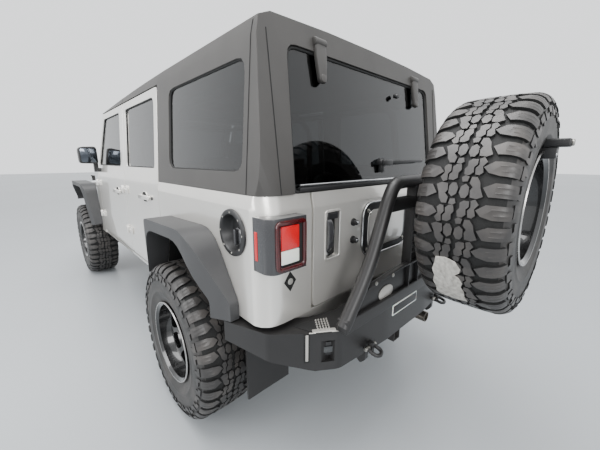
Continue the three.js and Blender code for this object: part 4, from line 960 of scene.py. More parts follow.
# ---- rear lamps and filler ----------------------------------------------------------------------
class OffroadTailLamps(bpy.types.Operator):
    """Tail lamps: bezel, dark red frame, red and clear lenses and a side reflector."""

    bl_idname = "offroad.tail_lamps"
    bl_label = "Tail lamps"

    def execute(self, context):
        low, high = LAMP
        face = low.x
        housing = copied("tail_light_left")
        rounded(housing, 0.016, 4)
        centre = ((low.y + high.y) / 2 - 0.010, (low.z + high.z) / 2)
        width, height = high.y - low.y - 0.034, high.z - low.z - 0.018
        surround = rear_plate(face + 0.004, rounded_rectangle(centre, width, height, 0.022), 0.014, 0.004)
        hollow = rear_plate(face + 0.010, rounded_rectangle(centre, width - 0.036, height - 0.034, 0.010), 0.04, 0)
        cut(surround, hollow)
        cavity = rear_plate(face + 0.001, rounded_rectangle(centre, width - 0.03, height - 0.03, 0.010), 0.003, 0)
        shift = 0.008
        lens_width, lens_low, lens_high = width - 0.062, low.z + 0.036, high.z - 0.030
        split = lens_low + (lens_high - lens_low) * 0.37
        y0 = centre[0] + shift - lens_width / 2
        red = block((face - 0.008, y0, split + 0.001), (face + 0.002, y0 + lens_width, lens_high), 0.004, 3)
        white = block((face - 0.008, y0, lens_low), (face + 0.002, y0 + lens_width, split - 0.001), 0.004, 3)
        side = block((high.x - 0.030, high.y - 0.006, low.z + 0.045), (high.x - 0.012, high.y + 0.003, high.z - 0.055),
                     0.003, 3)
        painted(housing, FINISHES["bezel"])
        painted(cavity, FINISHES["dark"])
        painted(surround, FINISHES["deep_red"])
        # The side reflector takes the red lens finish; its faint glow there is painted light.
        painted_all(FINISHES["red"], red, side)
        painted(white, FINISHES["white"])
        lamp = joined(cavity, surround, red, white, side, housing)
        pair("tail_lamp_{}", "lamp_lens", "body", lamp, "tail_light_{}")
        return {"FINISHED"}


class OffroadFiller(bpy.types.Operator):
    """Fuel filler: a recessed round cup, its ring and a gripped cap."""

    bl_idname = "offroad.filler"
    bl_label = "Fuel filler"

    def execute(self, context):
        low, high = FILLER
        centre = Vector(((low.x + high.x) / 2, BODY_SIDE, (low.z + high.z) / 2))
        radius = (high.x - low.x) / 2
        side = (0, 1, 0)
        cup = ring([
            (radius - 0.003, -0.044), (radius - 0.001, -0.004), (radius + 0.004, 0.001), (radius + 0.002, 0.008),
            (radius - 0.006, 0.012), (radius - 0.017, 0.010), (radius - 0.022, 0.002), (radius - 0.026, -0.030),
            (radius - 0.034, -0.038), (0, -0.040), (0, -0.046)], centre, side, 64)
        off = centre + Vector((-0.012, 0, -0.018))
        cap = ring([(0, -0.012), (0.030, -0.013), (0.038, -0.018), (0.040, -0.038), (0, -0.040)], off, side, 48)
        grip = block(off + Vector((-0.007, -0.014, -0.034)), off + Vector((0.007, 0.002, 0.034)), 0.004, 3)
        painted(cup, FINISHES["trim"])
        painted_all(FINISHES["bezel"], cap, grip)
        bolts = []
        for i in range(8):
            turn = 2 * math.pi * i / 8
            place = centre + Vector((math.cos(turn), 0, math.sin(turn))) * (radius - 0.010) + Vector((0, 0.010, 0))
            bolts.append(bolt(place, side, 0.004, "zinc", 0.003))
        kept(joined(*bolts, cap, grip, cup), "fuel_filler_cup", "body", "black_trim", "fuel_filler")
        return {"FINISHED"}


# ---- tailgate and rear glass --------------------------------------------------------------------
class OffroadTailgateFittings(bpy.types.Operator):
    """Tailgate handle, reinforcing plate, rubber stops, hinges and a plain badge."""

    bl_idname = "offroad.tailgate_fittings"
    bl_label = "Tailgate fittings"

    def execute(self, context):
        face = GATE[0].x
        recess_y, recess_z = (0.352, 0.445), (0.987, 1.208)
        mid_y, mid_z = sum(recess_y) / 2, sum(recess_z) / 2
        rim_outline = rounded_rectangle((mid_y, mid_z), 0.109, 0.237, 0.014)
        rim_plate = rear_plate(face + 0.001, rim_outline, 0.0045, 0.0015)
        cut(rim_plate, rear_plate(face + 0.01, rounded_rectangle((mid_y, mid_z), 0.088, 0.216, 0.010), 0.03, 0))
        painted(rim_plate, FINISHES["paint"])
        liner = rear_plate(face + 0.0315, rounded_rectangle((mid_y, mid_z), 0.091, 0.219, 0.012), 0.003, 0)
        painted(liner, FINISHES["dark"])
        paddle = plate([(face + 0.012, 0.432, z) for z in (1.030, 1.170)]
                       + [(face - 0.006, 0.452, 1.176), (face - 0.022, 0.452, 1.150), (face - 0.026, 0.452, 1.10),
                          (face - 0.022, 0.452, 1.050), (face - 0.006, 0.452, 1.024)][::1],
                       (0, -0.034, 0), 0.006, 3)
        painted(paddle, FINISHES["bezel"])
        mount = block((face - 0.004, 0.366, 1.172), (face + 0.030, 0.436, 1.202), 0.004, 3)
        painted(mount, FINISHES["trim"])
        lock = bar(0.011, (face + 0.030, 0.430, 1.012), (face - 0.006, 0.430, 1.012), 24, 0.002)
        painted(lock, FINISHES["chrome"])
        kept(joined(liner, rim_plate, mount, lock, paddle), "tailgate_handle", "tailgate", "black_trim")

        outline = rounded_rectangle((-0.06, 1.075), 0.46, 0.29, 0.075, 8)
        panel = painted(rear_plate(face + 0.001, outline, 0.012, 0.004), FINISHES["trim"])
        inner = painted(rear_plate(face - 0.010, rounded_rectangle((-0.06, 1.075), 0.38, 0.21, 0.05, 8), 0.004),
                        FINISHES["paint"])
        edge_path = [(face - 0.009, y, z) for y, z in rounded_rectangle((-0.06, 1.075), 0.462, 0.292, 0.076, 8)]
        trim = painted(pipe(edge_path, 0.004, 3, True), FINISHES["chrome"])
        heads = [bolt((face - 0.011, -0.06 + dy, 1.075 + dz), BACK, 0.008, "zinc")
                 for dy in (-0.19, 0.19) for dz in (-0.105, 0.105)]
        kept(joined(*heads, trim, inner, panel), "tailgate_plate", "tailgate", "black_trim")

        stops = []
        for z in (1.045, 1.135):
            stops.append(painted(bar(0.019, (face + 0.002, 0.245, z), (face - 0.008, 0.245, z), 24), FINISHES["seal"]))
            stops.append(painted(bar(0.013, (face, 0.245, z), (face - 0.030, 0.245, z), 24, 0.004), FINISHES["seal"]))
            stops.append(bolt((face - 0.029, 0.245, z), BACK, 0.006, "chrome", 0.003))
        kept(joined(*stops), "tailgate_stops", "tailgate", "black_trim")

        gate, body = [], []
        for z in (0.875, 1.205):
            gate.append(block((face - 0.014, -0.527, z - 0.032), (face + 0.002, -0.430, z + 0.032), 0.005, 3))
            body.append(block((face - 0.012, -0.615, z - 0.032), (face + 0.0085, -0.563, z + 0.032), 0.005, 3))
            gate.append(bar(0.010, (face - 0.017, -0.545, z - 0.034), (face - 0.017, -0.545, z + 0.034), 20))
            gate.append(block((face - 0.016, -0.545, z - 0.020), (face - 0.008, -0.520, z + 0.020), 0.003))
            gate += [painted(bolt((face - 0.014, y, z), BACK, 0.006, "zinc", 0.003), FINISHES["paint"])
                     for y in (-0.50, -0.46)]
        for name, parts, rider in (("tailgate_hinges", gate, "tailgate"), ("tailgate_hinge_feet", body, "body")):
            kept(painted(joined(*parts), FINISHES["paint"]), name, rider, "body_paint")

        diamond = [(0.66, 0.895), (0.693, 0.94), (0.66, 0.985), (0.627, 0.94)]
        badge = painted(rear_plate(TUB[0].x + 0.001, diamond, 0.0035, 0.001), FINISHES["dark"])
        centre = painted(bar(0.014, (TUB[0].x, 0.66, 0.94), (TUB[0].x - 0.004, 0.66, 0.94), 24, 0.001),
                         FINISHES["strip"])
        kept(joined(centre, badge), "corner_badge", "body", "black_trim")
        return {"FINISHED"}


class OffroadRearGlassFittings(bpy.types.Operator):
    """Lift glass hinges, wiper, washer nozzle and the rail along the glass's foot."""

    bl_idname = "offroad.rear_glass_fittings"
    bl_label = "Rear glass fittings"

    def execute(self, context):
        face = TUB[0].x + 0.004
        hinges = []
        for y in (-0.425, 0.425):
            strap = rear_plate(face, [
                (y - 0.030, 1.915), (y + 0.030, 1.915), (y + 0.033, 1.86), (y + 0.022, 1.765), (y + 0.010, 1.752),
                (y - 0.010, 1.752), (y - 0.022, 1.765), (y - 0.033, 1.86)], 0.022, 0.007)
            knuckle = bar(0.017, (face - 0.010, y - 0.034, 1.915), (face - 0.010, y + 0.034, 1.915), 24, 0.004)
            foot = rear_plate(face + 0.004, rounded_rectangle((y, 1.772), 0.036, 0.036, 0.016), 0.030, 0.006)
            hinges += [leaned(piece) for piece in (strap, knuckle, foot)]
        kept(painted(joined(*hinges), FINISHES["hardtop"]), "rear_glass_hinges", "body", "hardtop_shell")

        glass = REAR_GLASS[0].x
        rail = rear_plate(glass + 0.012, [(-0.60, 1.309), (0.60, 1.309), (0.60, 1.327), (-0.60, 1.327)], 0.026, 0.005)
        bead = pipe([(glass - 0.010, y, 1.335) for y in (-0.60, 0, 0.60)], 0.005)
        kept(joined(painted(bead, FINISHES["chrome"]), painted(rail, FINISHES["trim"])), "rear_glass_rail", "body",
             "black_trim")

        pivot = Vector((glass + REAR_LEAN * 0.12, -0.02, 1.421))
        boss = painted(bar(0.024, pivot + Vector((0.004, 0, 0)), pivot - Vector((0.030, 0, 0)), 24, 0.006),
                       FINISHES["trim"])
        shoulder = block(pivot + Vector((-0.045, -0.07, -0.014)), pivot + Vector((-0.022, 0.02, 0.016)), 0.006, 3)
        lobe = block(pivot + Vector((-0.030, -0.012, -0.050)), pivot + Vector((-0.008, 0.020, 0)), 0.006, 3)
        arm = plate([pivot + Vector((-0.030, dy, dz)) for dy, dz in
                     ((-0.05, -0.008), (-0.44, 0.004), (-0.45, 0.010), (-0.44, 0.018), (-0.05, 0.012))],
                    (-0.010, 0, 0), 0.003, 2)
        blade = block(pivot + Vector((-0.030, -0.45, 0.000)), pivot + Vector((-0.010, -0.10, 0.010)), 0.002)
        painted_all(FINISHES["trim"], shoulder, lobe, arm)
        painted(blade, FINISHES["seal"])
        kept(joined(boss, shoulder, lobe, blade, arm), "rear_wiper", "body", "black_trim")

        nozzle = leaned(bar(0.012, (face - 0.002, -0.188, 1.79), (face - 0.026, -0.188, 1.782), 20, 0.004))
        kept(painted(nozzle, FINISHES["trim"]), "washer_nozzle", "body", "black_trim")
        return {"FINISHED"}


# ---- rear bumper and carrier --------------------------------------------------------------------
class OffroadRearBumper(bpy.types.Operator):
    """Plate bumper: step pads, work lamps, painted highlights and shadow at its corners, shackles and a blank plate."""

    bl_idname = "offroad.rear_bumper"
    bl_label = "Rear bumper"

    def execute(self, context):
        shell = panelled("rear_bumper", 0.007, 3)
        kept(painted(shell, FINISHES["steelwork"]), "rear_bumper_plates", "body", "satin_black_steel", "rear_bumper")
        top = REAR_BUMPER[1].z
        back = REAR_BUMPER[0].x
        corner, wing = Vector((back + 0.030, 0.543, 0)), Vector((back + 0.104, 0.652, 0))
        parts = []
        pad = [(back + 0.19, 0.665), (back + 0.072, 0.625), (back + 0.045, 0.575), (back + 0.155, 0.520)]
        parts.append(painted(plate([(x, y, top - 0.0005) for x, y in pad], (0, 0, 0.003), 0.001), FINISHES["dark"]))
        along = Vector((pad[2][0] - pad[1][0], pad[2][1] - pad[1][1], 0)).normalized()
        across = Vector((-along.y, along.x, 0))
        start = Vector((pad[1][0], pad[1][1], top + 0.002))
        if across.x < 0:
            across = -across
        for row in range(6):
            for step in range(5):
                spot = start + across * (0.016 + row * 0.017) + along * (0.002 + step * 0.0125 + row * 0.003)
                parts.append(painted(bar(0.0045, spot, spot + UP * 0.006, 8, 0, 0.003), FINISHES["strip"]))
        # Painted highlight: a pale slab along the top of the angled corner face.
        lip = block((-0.5, -0.5, -0.5), (0.5, 0.5, 0.5), 0.06, 2)
        direction = (wing - corner).normalized()
        inner = Vector((direction.y, -direction.x, 0))
        if inner.x < 0:
            inner = -inner
        middle_face = (corner + wing) / 2
        for vertex in lip.data.vertices:
            x, y, z = vertex.co
            vertex.co = (middle_face + direction * (y * 0.10) + inner * (0.010 + x * 0.022)
                         + UP * (top + 0.0025 + z * 0.006))
        parts.append(painted(lip, FINISHES["strip"]))
        # Painted highlight and painted shadow at the bend of the corner face: a pale upright strip, and a dark plate
        # beside it.
        seam = middle_face + direction * 0.075
        strip = plate([seam - inner * 0.002 + direction * (s * 0.006) + UP * z for s, z in
                       ((-1, top - 0.125), (1, top - 0.125), (1, top - 0.004), (-1, top - 0.004))],
                      -inner * 0.004, 0.0015)
        parts.append(painted(strip, FINISHES["strip"]))
        # Painted shadow: a dark plate beside the pale strip.
        shadow = plate([seam + inner * 0.003 + direction * (s * 0.012) + UP * z for s, z in
                        ((-1, top - 0.135), (1, top - 0.135), (1, top - 0.002), (-1, top - 0.002))],
                       -inner * 0.0045, 0.001)
        parts.append(painted(shadow, FINISHES["dark"]))
        for width, height, depth, sink, finish in ((0.092, 0.064, 0.030, 0.016, "trim"),
                                                   (0.078, 0.030, 0.012, 0.010, "screen")):
            face_box = block((-depth / 2, -width / 2, -height / 2), (depth / 2, width / 2, height / 2), 0.003, 2)
            centre = middle_face + direction * -0.018 + inner * (sink + depth / 2) + UP * (top - 0.090)
            turn = Matrix((inner, direction, UP)).transposed().to_4x4()
            face_box.data.transform(Matrix.Translation(centre) @ turn)
            parts.append(painted(closed(face_box), FINISHES[finish]))
        # Painted highlight: a pale line along the bumper's top edge, from the middle to the wing.
        edge_path = [(back + 0.002, 0.17, top + 0.001), (back + 0.005, 0.36, top + 0.001),
                     corner + UP * (top + 0.001), wing + UP * (top + 0.001)]
        parts.append(painted(pipe(edge_path, 0.0022, 2), FINISHES["strip"]))
        # Painted highlight: a pale strip on the top face along the rear edge.
        top_highlight_low, top_highlight_high = (back + 0.012, 0.17, top - 0.001), (back + 0.040, 0.46, top + 0.002)
        parts.append(painted(block(top_highlight_low, top_highlight_high, 0.001), FINISHES["strip"]))
        left = joined(*parts)
        pair("bumper_fittings_{}", "satin_black_steel", "body", left)

        middle_low, middle_high = back - 0.001, back + 0.001
        # The border takes the white lens finish: white, with a faint glow that is painted light.
        border = painted(rear_plate(middle_high, rounded_rectangle((0.041, 0.702), 0.257, 0.058, 0.006), 0.004, 0.001),
                         FINISHES["white"])
        blank = painted(rear_plate(middle_low, rounded_rectangle((0.041, 0.702), 0.243, 0.044, 0.004), 0.0035, 0.001),
                        FINISHES["trim"])
        kept(joined(border, blank), "bumper_badge_blank", "body", "satin_black_steel")
        shackles = []
        for y in (-0.36, 0.36):
            bow = [(back + 0.010, y - 0.024, 0.60), (back - 0.050, y - 0.026, 0.585), (back - 0.062, y, 0.580),
                   (back - 0.050, y + 0.026, 0.585), (back + 0.010, y + 0.024, 0.60)]
            shackles.append(painted(pipe(bent(bow, 0.03, 6), 0.009), FINISHES["steelwork"]))
            shackles.append(painted(bar(0.010, (back - 0.004, y - 0.040, 0.597), (back - 0.004, y + 0.040, 0.597), 20),
                                    FINISHES["zinc"]))
            shackles.append(painted(block((back - 0.022, y - 0.011, 0.572), (back + 0.004, y + 0.011, 0.622), 0.004),
                                    FINISHES["steelwork"]))
        kept(joined(*shackles), "recovery_shackles", "body", "satin_black_steel")
        return {"FINISHED"}


class OffroadCarrier(bpy.types.Operator):
    """Swing-out carrier: bent hoop, folded gusset, slotted post, wheel hub and lamp bracket."""

    bl_idname = "offroad.carrier"
    bl_label = "Tyre carrier"

    def execute(self, context):
        low, high = CARRIER
        x = REAR_BUMPER[0].x + 0.008
        foot = REAR_BUMPER[1].z + 0.006
        radius = 0.030
        half = [(0.552, foot + radius - 0.01), (0.392, 0.971), (0.262, 1.268), (0.215, 1.335), (0.10, 1.340)]
        path = [(x, y, z) for y, z in half] + [(x, -y, z) for y, z in reversed(half)]
        hoop = pipe(bent(path, 0.12, 8), radius, 7)
        beam = block((x - 0.026, -0.600, foot), (x + 0.026, 0.560, foot + 0.060), 0.006, 3)
        gusset = plate([(x + 0.006, y, z) for y, z in (
            (-0.480, foot + 0.02), (0.480, foot + 0.02), (0.415, 0.905), (0.150, 0.930), (-0.150, 0.930),
            (-0.415, 0.905))], (-0.012, 0, 0), 0.002)
        flange = plate([(x - 0.006, y, z) for y, z in (
            (-0.418, 0.898), (-0.155, 0.922), (0.155, 0.922), (0.418, 0.898), (0.418, 0.904), (0.155, 0.930),
            (-0.155, 0.930), (-0.418, 0.904))], (-0.020, 0, 0), 0.0015)
        post = block((x - 0.005, -0.050, foot + 0.03), (x + 0.005, 0.050, 1.330), 0.002)
        slots = [block((x - 0.02, -0.026, 0.965 + i * 0.058), (x + 0.02, 0.026, 0.995 + i * 0.058), 0.006, 3)
                 for i in range(6)]
        cut(post, *slots)
        cheeks = [block((x - 0.024, s * 0.050 - 0.003, foot + 0.05), (x + 0.024, s * 0.050 + 0.003, 1.322), 0.0015)
                  for s in (-1, 1)]
        hub_back = SPARE.x - 0.004
        hub = Vector((0, SPARE.y, SPARE.z))
        drum = bar(0.070, hub + BACK * -(x + 0.004), hub + BACK * -hub_back, 40, 0.004)
        collar = bar(0.086, hub + BACK * -(x - 0.02), hub + BACK * -(x - 0.035), 40, 0.003)
        cross = block((x - 0.024, -0.268, SPARE.z - 0.03), (x + 0.024, 0.268, SPARE.z + 0.026), 0.005)
        pad = block((x - 0.022, SPARE.y - 0.085, SPARE.z - 0.052), (x + 0.022, SPARE.y + 0.085, SPARE.z + 0.085), 0.01)
        pivot = Vector((REAR_BUMPER[0].x + 0.075, -0.640, 0))
        sleeve = bar(0.036, pivot + UP * foot, pivot + UP * (foot + 0.15), 32, 0.004)
        cap = bar(0.028, pivot + UP * (foot + 0.15), pivot + UP * (foot + 0.158), 24, 0.002)
        knee = plate([(px, py, foot) for px, py in (
            (x - 0.026, -0.56), (x + 0.026, -0.56), (pivot.x + 0.02, -0.615), (pivot.x - 0.01, -0.665),
            (x - 0.026, -0.62))], (0, 0, 0.06), 0.005)
        nubs = [bolt((x - 0.026, y, 0.912), BACK, 0.007, "zinc", 0.004) for y in (-0.36, -0.22, 0.22, 0.36)]
        shell = [hoop, beam, gusset, flange, post, *cheeks, drum, collar, cross, pad, sleeve, cap, knee]
        painted_all(FINISHES["steelwork"], *shell)
        oval = [(0.245 + 0.062 * math.cos(i * math.pi / 12), 0.828 + 0.036 * math.sin(i * math.pi / 12))
                for i in range(24)]
        emblem = painted(rear_plate(x - 0.006, oval, 0.005, 0.002), FINISHES["strip"])
        kept(joined(*nubs, emblem, *shell), "tyre_carrier_frame", "carrier", "satin_black_steel", "tyre_carrier")

        outer = SPARE.x - TYRE_HALF_WIDTH
        z = SPARE.z + 0.245
        lamp = painted(block((outer - 0.060, SPARE.y - 0.030, z - 0.004), (outer + 0.020, SPARE.y + 0.030, z + 0.026),
                             0.006, 3), FINISHES["trim"])
        lens = painted(bar(0.012, (outer - 0.058, SPARE.y, z + 0.011), (outer - 0.068, SPARE.y, z + 0.011), 24, 0.003),
                       FINISHES["zinc"])
        stay = painted(block((outer - 0.024, SPARE.y - 0.022, z - 0.046), (outer + 0.030, SPARE.y + 0.022, z - 0.004),
                             0.004, 2), FINISHES["trim"])
        arm = painted(pipe(bent([(outer - 0.010, SPARE.y, z - 0.02), (outer + 0.035, SPARE.y, z - 0.05),
                                 (outer + 0.10, SPARE.y, SPARE.z + 0.08), (hub_back - 0.02, SPARE.y, SPARE.z + 0.02)],
                                0.05, 6), 0.008), FINISHES["steelwork"])
        screw = bolt((outer - 0.024, SPARE.y + 0.012, z - 0.03), BACK, 0.005, "chrome", 0.003)
        kept(joined(lens, stay, arm, screw, lamp), "carrier_lamp", "carrier", "black_trim")
        return {"FINISHED"}


class OffroadSealantPatch(bpy.types.Operator):
    """The torn patch of dried sealant on the spare's tread."""

    bl_idname = "offroad.sealant_patch"
    bl_label = "Sealant patch"

    def execute(self, context):
        edge = [(-145, -53), (-140, -21), (-152, 12), (-182, 27), (-200, 22), (-214, 6), (-224, 20), (-251, 29),
                (-276, 22), (-302, 30), (-340, 26), (-376, 31), (-385, 0), (-380, -60), (-356, -77), (-320, -70),
                (-277, -76), (-240, -66), (-206, -70), (-176, -60)]
        obj = outline_mesh([(u, v, 9.6) for u, v in edge], True)
        edited(obj, (bpy.ops.mesh.extrude_region_move, {"TRANSFORM_OT_translate": {"value": (0, 0, 3.4)}}),
               *[(bpy.ops.mesh.bisect, {"plane_co": (u, 0, 0), "plane_no": (1, 0, 0)}) for u in range(-378, -144, 12)],
               *[(bpy.ops.mesh.bisect, {"plane_co": (0, v, 0), "plane_no": (0, 1, 0)}) for v in range(-70, 31, 12)])
        flat = np.array([tuple(v.co) for v in obj.data.vertices])
        wobble = np.sin(flat[:, 0] * 0.31 + flat[:, 1] * 0.17) * 0.5 + np.sin(flat[:, 1] * 0.43) * 0.4
        flat[:, 2] += np.where(flat[:, 2] > 12, wobble, 0)
        obj.data.vertices.foreach_set("co", wrap(flat, TREAD_TOP).ravel())
        edited(obj, (bpy.ops.mesh.normals_make_consistent, {"inside": False}))
        obj.matrix_world = Matrix.Translation(SPARE) @ Matrix.Rotation(math.pi / 2, 4, "Z")
        settled(obj)
        kept(painted(smoothed(obj), FINISHES["filler"]), "sealant_patch", "carrier", "tyre_rubber")
        return {"FINISHED"}


# ---- doors and mirrors --------------------------------------------------------------------------
class OffroadDoorFittings(bpy.types.Operator):
    """Pull handles over their cups, and the outside hinges of all four doors."""

    bl_idname = "offroad.door_fittings"
    bl_label = "Door handles and hinges"

    def execute(self, context):
        for end, x, z in (("front", 0.285, 1.167), ("rear", -0.500, 1.184)):
            side = BODY_SIDE + 0.0005
            cup = painted(plate([(x + 0.015 + px, side - 0.004, z + pz) for px, pz in
                                 rounded_rectangle((0, 0), 0.105, 0.070, 0.033, 8)], (0, 0.006, 0), 0.002),
                          FINISHES["dark"])
            collar = painted(pipe([(x + 0.015 + px, side + 0.001, z + pz) for px, pz in
                                   rounded_rectangle((0, 0), 0.107, 0.072, 0.034, 8)], 0.003, 3, True),
                             FINISHES["paint"])
            grip = painted(plate([(x - 0.105, side, z - 0.016), (x + 0.085, side, z - 0.016),
                                  (x + 0.098, side, z), (x + 0.085, side, z + 0.016), (x - 0.105, side, z + 0.016)],
                                 (0, 0.016, 0), 0.006, 3), FINISHES["paint"])
            for vertex in grip.data.vertices:
                vertex.co.y += 0.026 * max(0.0, 1 - ((vertex.co.x - x) / 0.11) ** 2)
            feet = [painted(block((x + dx - 0.016, side - 0.002, z - 0.015), (x + dx + 0.016, side + 0.020, z + 0.015),
                                  0.005, 3), FINISHES["paint"]) for dx in (-0.095, 0.085)]
            lock = painted(bar(0.011, (x - 0.135, side - 0.002, z), (x - 0.135, side + 0.006, z), 24, 0.002),
                           FINISHES["trim"])
            pair(f"{end}_door_handle_{{}}", "body_paint", f"{end}_{{}}_door", joined(cup, collar, *feet, lock, grip))
            pin_x = [j for j in frame["joints"] if j["name"] == f"door_{end}_left"][0]["pos_m"][0]
            leaves, pins = [], []
            for z_hinge in (0.86, 1.20):
                leaves.append(block((pin_x - 0.105, side - 0.002, z_hinge - 0.030),
                                    (pin_x - 0.010, side + 0.010, z_hinge + 0.030), 0.004, 3))
                leaves.append(bar(0.012, (pin_x, side + 0.012, z_hinge - 0.032),
                                  (pin_x, side + 0.012, z_hinge + 0.032), 20, 0.002))
                leaves += [painted(bolt((pin_x - dx, side + 0.010, z_hinge), (0, 1, 0), 0.006, "zinc", 0.003),
                                   FINISHES["paint"]) for dx in (0.045, 0.082)]
                pins.append(block((pin_x + 0.016, side - (0.030 if end == "rear" else 0.002), z_hinge - 0.030),
                                  (pin_x + 0.075, side + 0.010, z_hinge + 0.030), 0.004, 3))
            pair(f"{end}_door_hinges_{{}}", "body_paint", f"{end}_{{}}_door",
                 painted(joined(*leaves), FINISHES["paint"]))
            rider = "body"
            pair(f"{end}_hinge_feet_{{}}", "body_paint", rider, painted(joined(*pins), FINISHES["paint"]))
        return {"FINISHED"}


class OffroadMirrors(bpy.types.Operator):
    """Door mirrors: softly rounded housings with their glass."""

    bl_idname = "offroad.mirrors"
    bl_label = "Door mirrors"

    def execute(self, context):
        low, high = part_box("mirror_left")
        housing = painted(rounded(copied("mirror_left"), 0.016, 4), FINISHES["trim"])
        width, height = 0.140, 0.145
        centre = (high.y - 0.082, high.z - 0.088)
        glass = painted(rear_plate(low.x + 0.001, rounded_rectangle(centre, width, height, 0.022), 0.003, 0.001),
                        FINISHES["mirror"])
        brim = painted(pipe([(low.x - 0.001, y, z) for y, z in rounded_rectangle(centre, width, height, 0.022)],
                            0.003, 3, True), FINISHES["seal"])
        pair("mirror_{}_housing", "black_trim", "front_{}_door", joined(glass, brim, housing), "mirror_{}")
        return {"FINISHED"}


# ---- front end ----------------------------------------------------------------------------------
class OffroadFrontEnd(bpy.types.Operator):
    """Grille with its mesh, round headlamps, fog lamps, tow hooks, hood latches and wipers."""

    bl_idname = "offroad.front_end"
    bl_label = "Front end"

    def execute(self, context):
        low, high = GRILLE
        face = painted(panelled("grille", 0.006, 3), FINISHES["paint"])
        slots_low, slots_high = low.z + 0.110, low.z + 0.385
        wires = [painted(block((low.x + 0.001, -0.345, slots_low), (low.x + 0.004, 0.345, slots_high), 0),
                         FINISHES["dark"])]
        for i in range(34):
            y = -0.33 + i * 0.02
            wires.append(bar(0.0018, (low.x + 0.008, y, slots_low), (low.x + 0.008, y, slots_high), 6, 0))
        for i in range(13):
            z = slots_low + 0.012 + i * 0.021
            wires.append(bar(0.0018, (low.x + 0.011, -0.34, z), (low.x + 0.011, 0.34, z), 6, 0))
        painted_all(FINISHES["trim"], *wires[1:])
        kept(joined(*wires, face), "grille_panel", "body", "body_paint", "grille")

        ahead = (1, 0, 0)
        centre = (high.x, 0.455, 1.010)
        bowl = painted(ring([
            (0.091, -0.045), (0.094, -0.002), (0.097, 0.004), (0.092, 0.008), (0.084, 0.004), (0.080, -0.010),
            (0.045, -0.034), (0, -0.036), (0, -0.046)], centre, ahead, 56), FINISHES["bezel"])
        reflector = painted(ring([(0.078, -0.012), (0.046, -0.032), (0, -0.033), (0, -0.036), (0.045, -0.0355),
                                  (0.079, -0.014)], centre, ahead, 56), FINISHES["chrome"])
        eye = painted(ring([(0.030, -0.032), (0.030, -0.016), (0.024, -0.008), (0.012, -0.004), (0, -0.003),
                            (0, -0.034)], centre, ahead, 40), FINISHES["screen"])
        cover = painted(ring([(0.084, 0.000), (0.060, 0.006), (0.030, 0.009), (0, 0.010), (0, 0.006), (0.030, 0.005),
                              (0.060, 0.002), (0.084, -0.004)], centre, ahead, 56), FINISHES["clear"])
        signal = painted(ring([(0.040, -0.010), (0.040, 0.004), (0.034, 0.008), (0, 0.010), (0, -0.010)],
                              (high.x - 0.002, 0.455, 0.868), ahead, 40), FINISHES["amber"])
        pair("headlamp_{}", "lamp_lens", "body", joined(bowl, reflector, eye, signal, cover))

        beam = painted(panelled("front_bumper", 0.010, 3), FINISHES["steelwork"])
        kept(beam, "front_bumper_beam", "body", "satin_black_steel", "front_bumper")
        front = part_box("front_bumper")[1].x
        fog_at = (front - 0.010, 0.405, 0.650)
        fog = painted(ring([(0.052, -0.03), (0.055, 0.006), (0.050, 0.011), (0.044, 0.008), (0.042, -0.008),
                            (0, -0.010), (0, -0.03)], fog_at, ahead, 40), FINISHES["trim"])
        fog_lens = painted(ring([(0.043, -0.004), (0.030, 0.004), (0, 0.007), (0, 0.003), (0.030, 0), (0.043, -0.008)],
                                fog_at, ahead, 40), FINISHES["white"])
        hook = pipe(bent([(front - 0.13, 0.22, 0.735), (front - 0.12, 0.22, 0.775), (front - 0.035, 0.22, 0.790),
                          (front - 0.020, 0.22, 0.765), (front - 0.055, 0.22, 0.752)], 0.03, 6), 0.011)
        pair("fog_lamp_{}", "black_trim", "body", joined(fog_lens, painted(hook, FINISHES["steelwork"]), fog))

        hood_side = Vector((2.06, 0.702, 1.205))
        strap = block(hood_side + Vector((-0.022, -0.010, -0.035)), hood_side + Vector((0.022, 0.024, 0.030)), 0.006, 3)
        pull = bar(0.010, hood_side + Vector((-0.028, 0.022, 0.024)), hood_side + Vector((0.028, 0.022, 0.024)), 16)
        pair("hood_latch_{}", "black_trim", "hood", painted(joined(strap, pull), FINISHES["seal"]))

        wipers = []
        for y in (0.42, -0.10):
            pivot = Vector((1.205, y, 1.345))
            wipers.append(bar(0.016, pivot - UP * 0.03, pivot + UP * 0.022, 20, 0.004))
            wipers.append(pipe(bent([pivot + UP * 0.018, pivot + Vector((-0.02, -0.05, 0.030)),
                                     pivot + Vector((-0.055, -0.30, 0.075)), pivot + Vector((-0.055, -0.40, 0.075))],
                                    0.03, 5), 0.006))
            wipers.append(pipe([pivot + Vector((-0.055, -0.12, 0.055)), pivot + Vector((-0.060, -0.52, 0.062))], 0.005))
        kept(painted(joined(*wipers), FINISHES["trim"]), "cowl_wipers", "body", "black_trim")
        return {"FINISHED"}


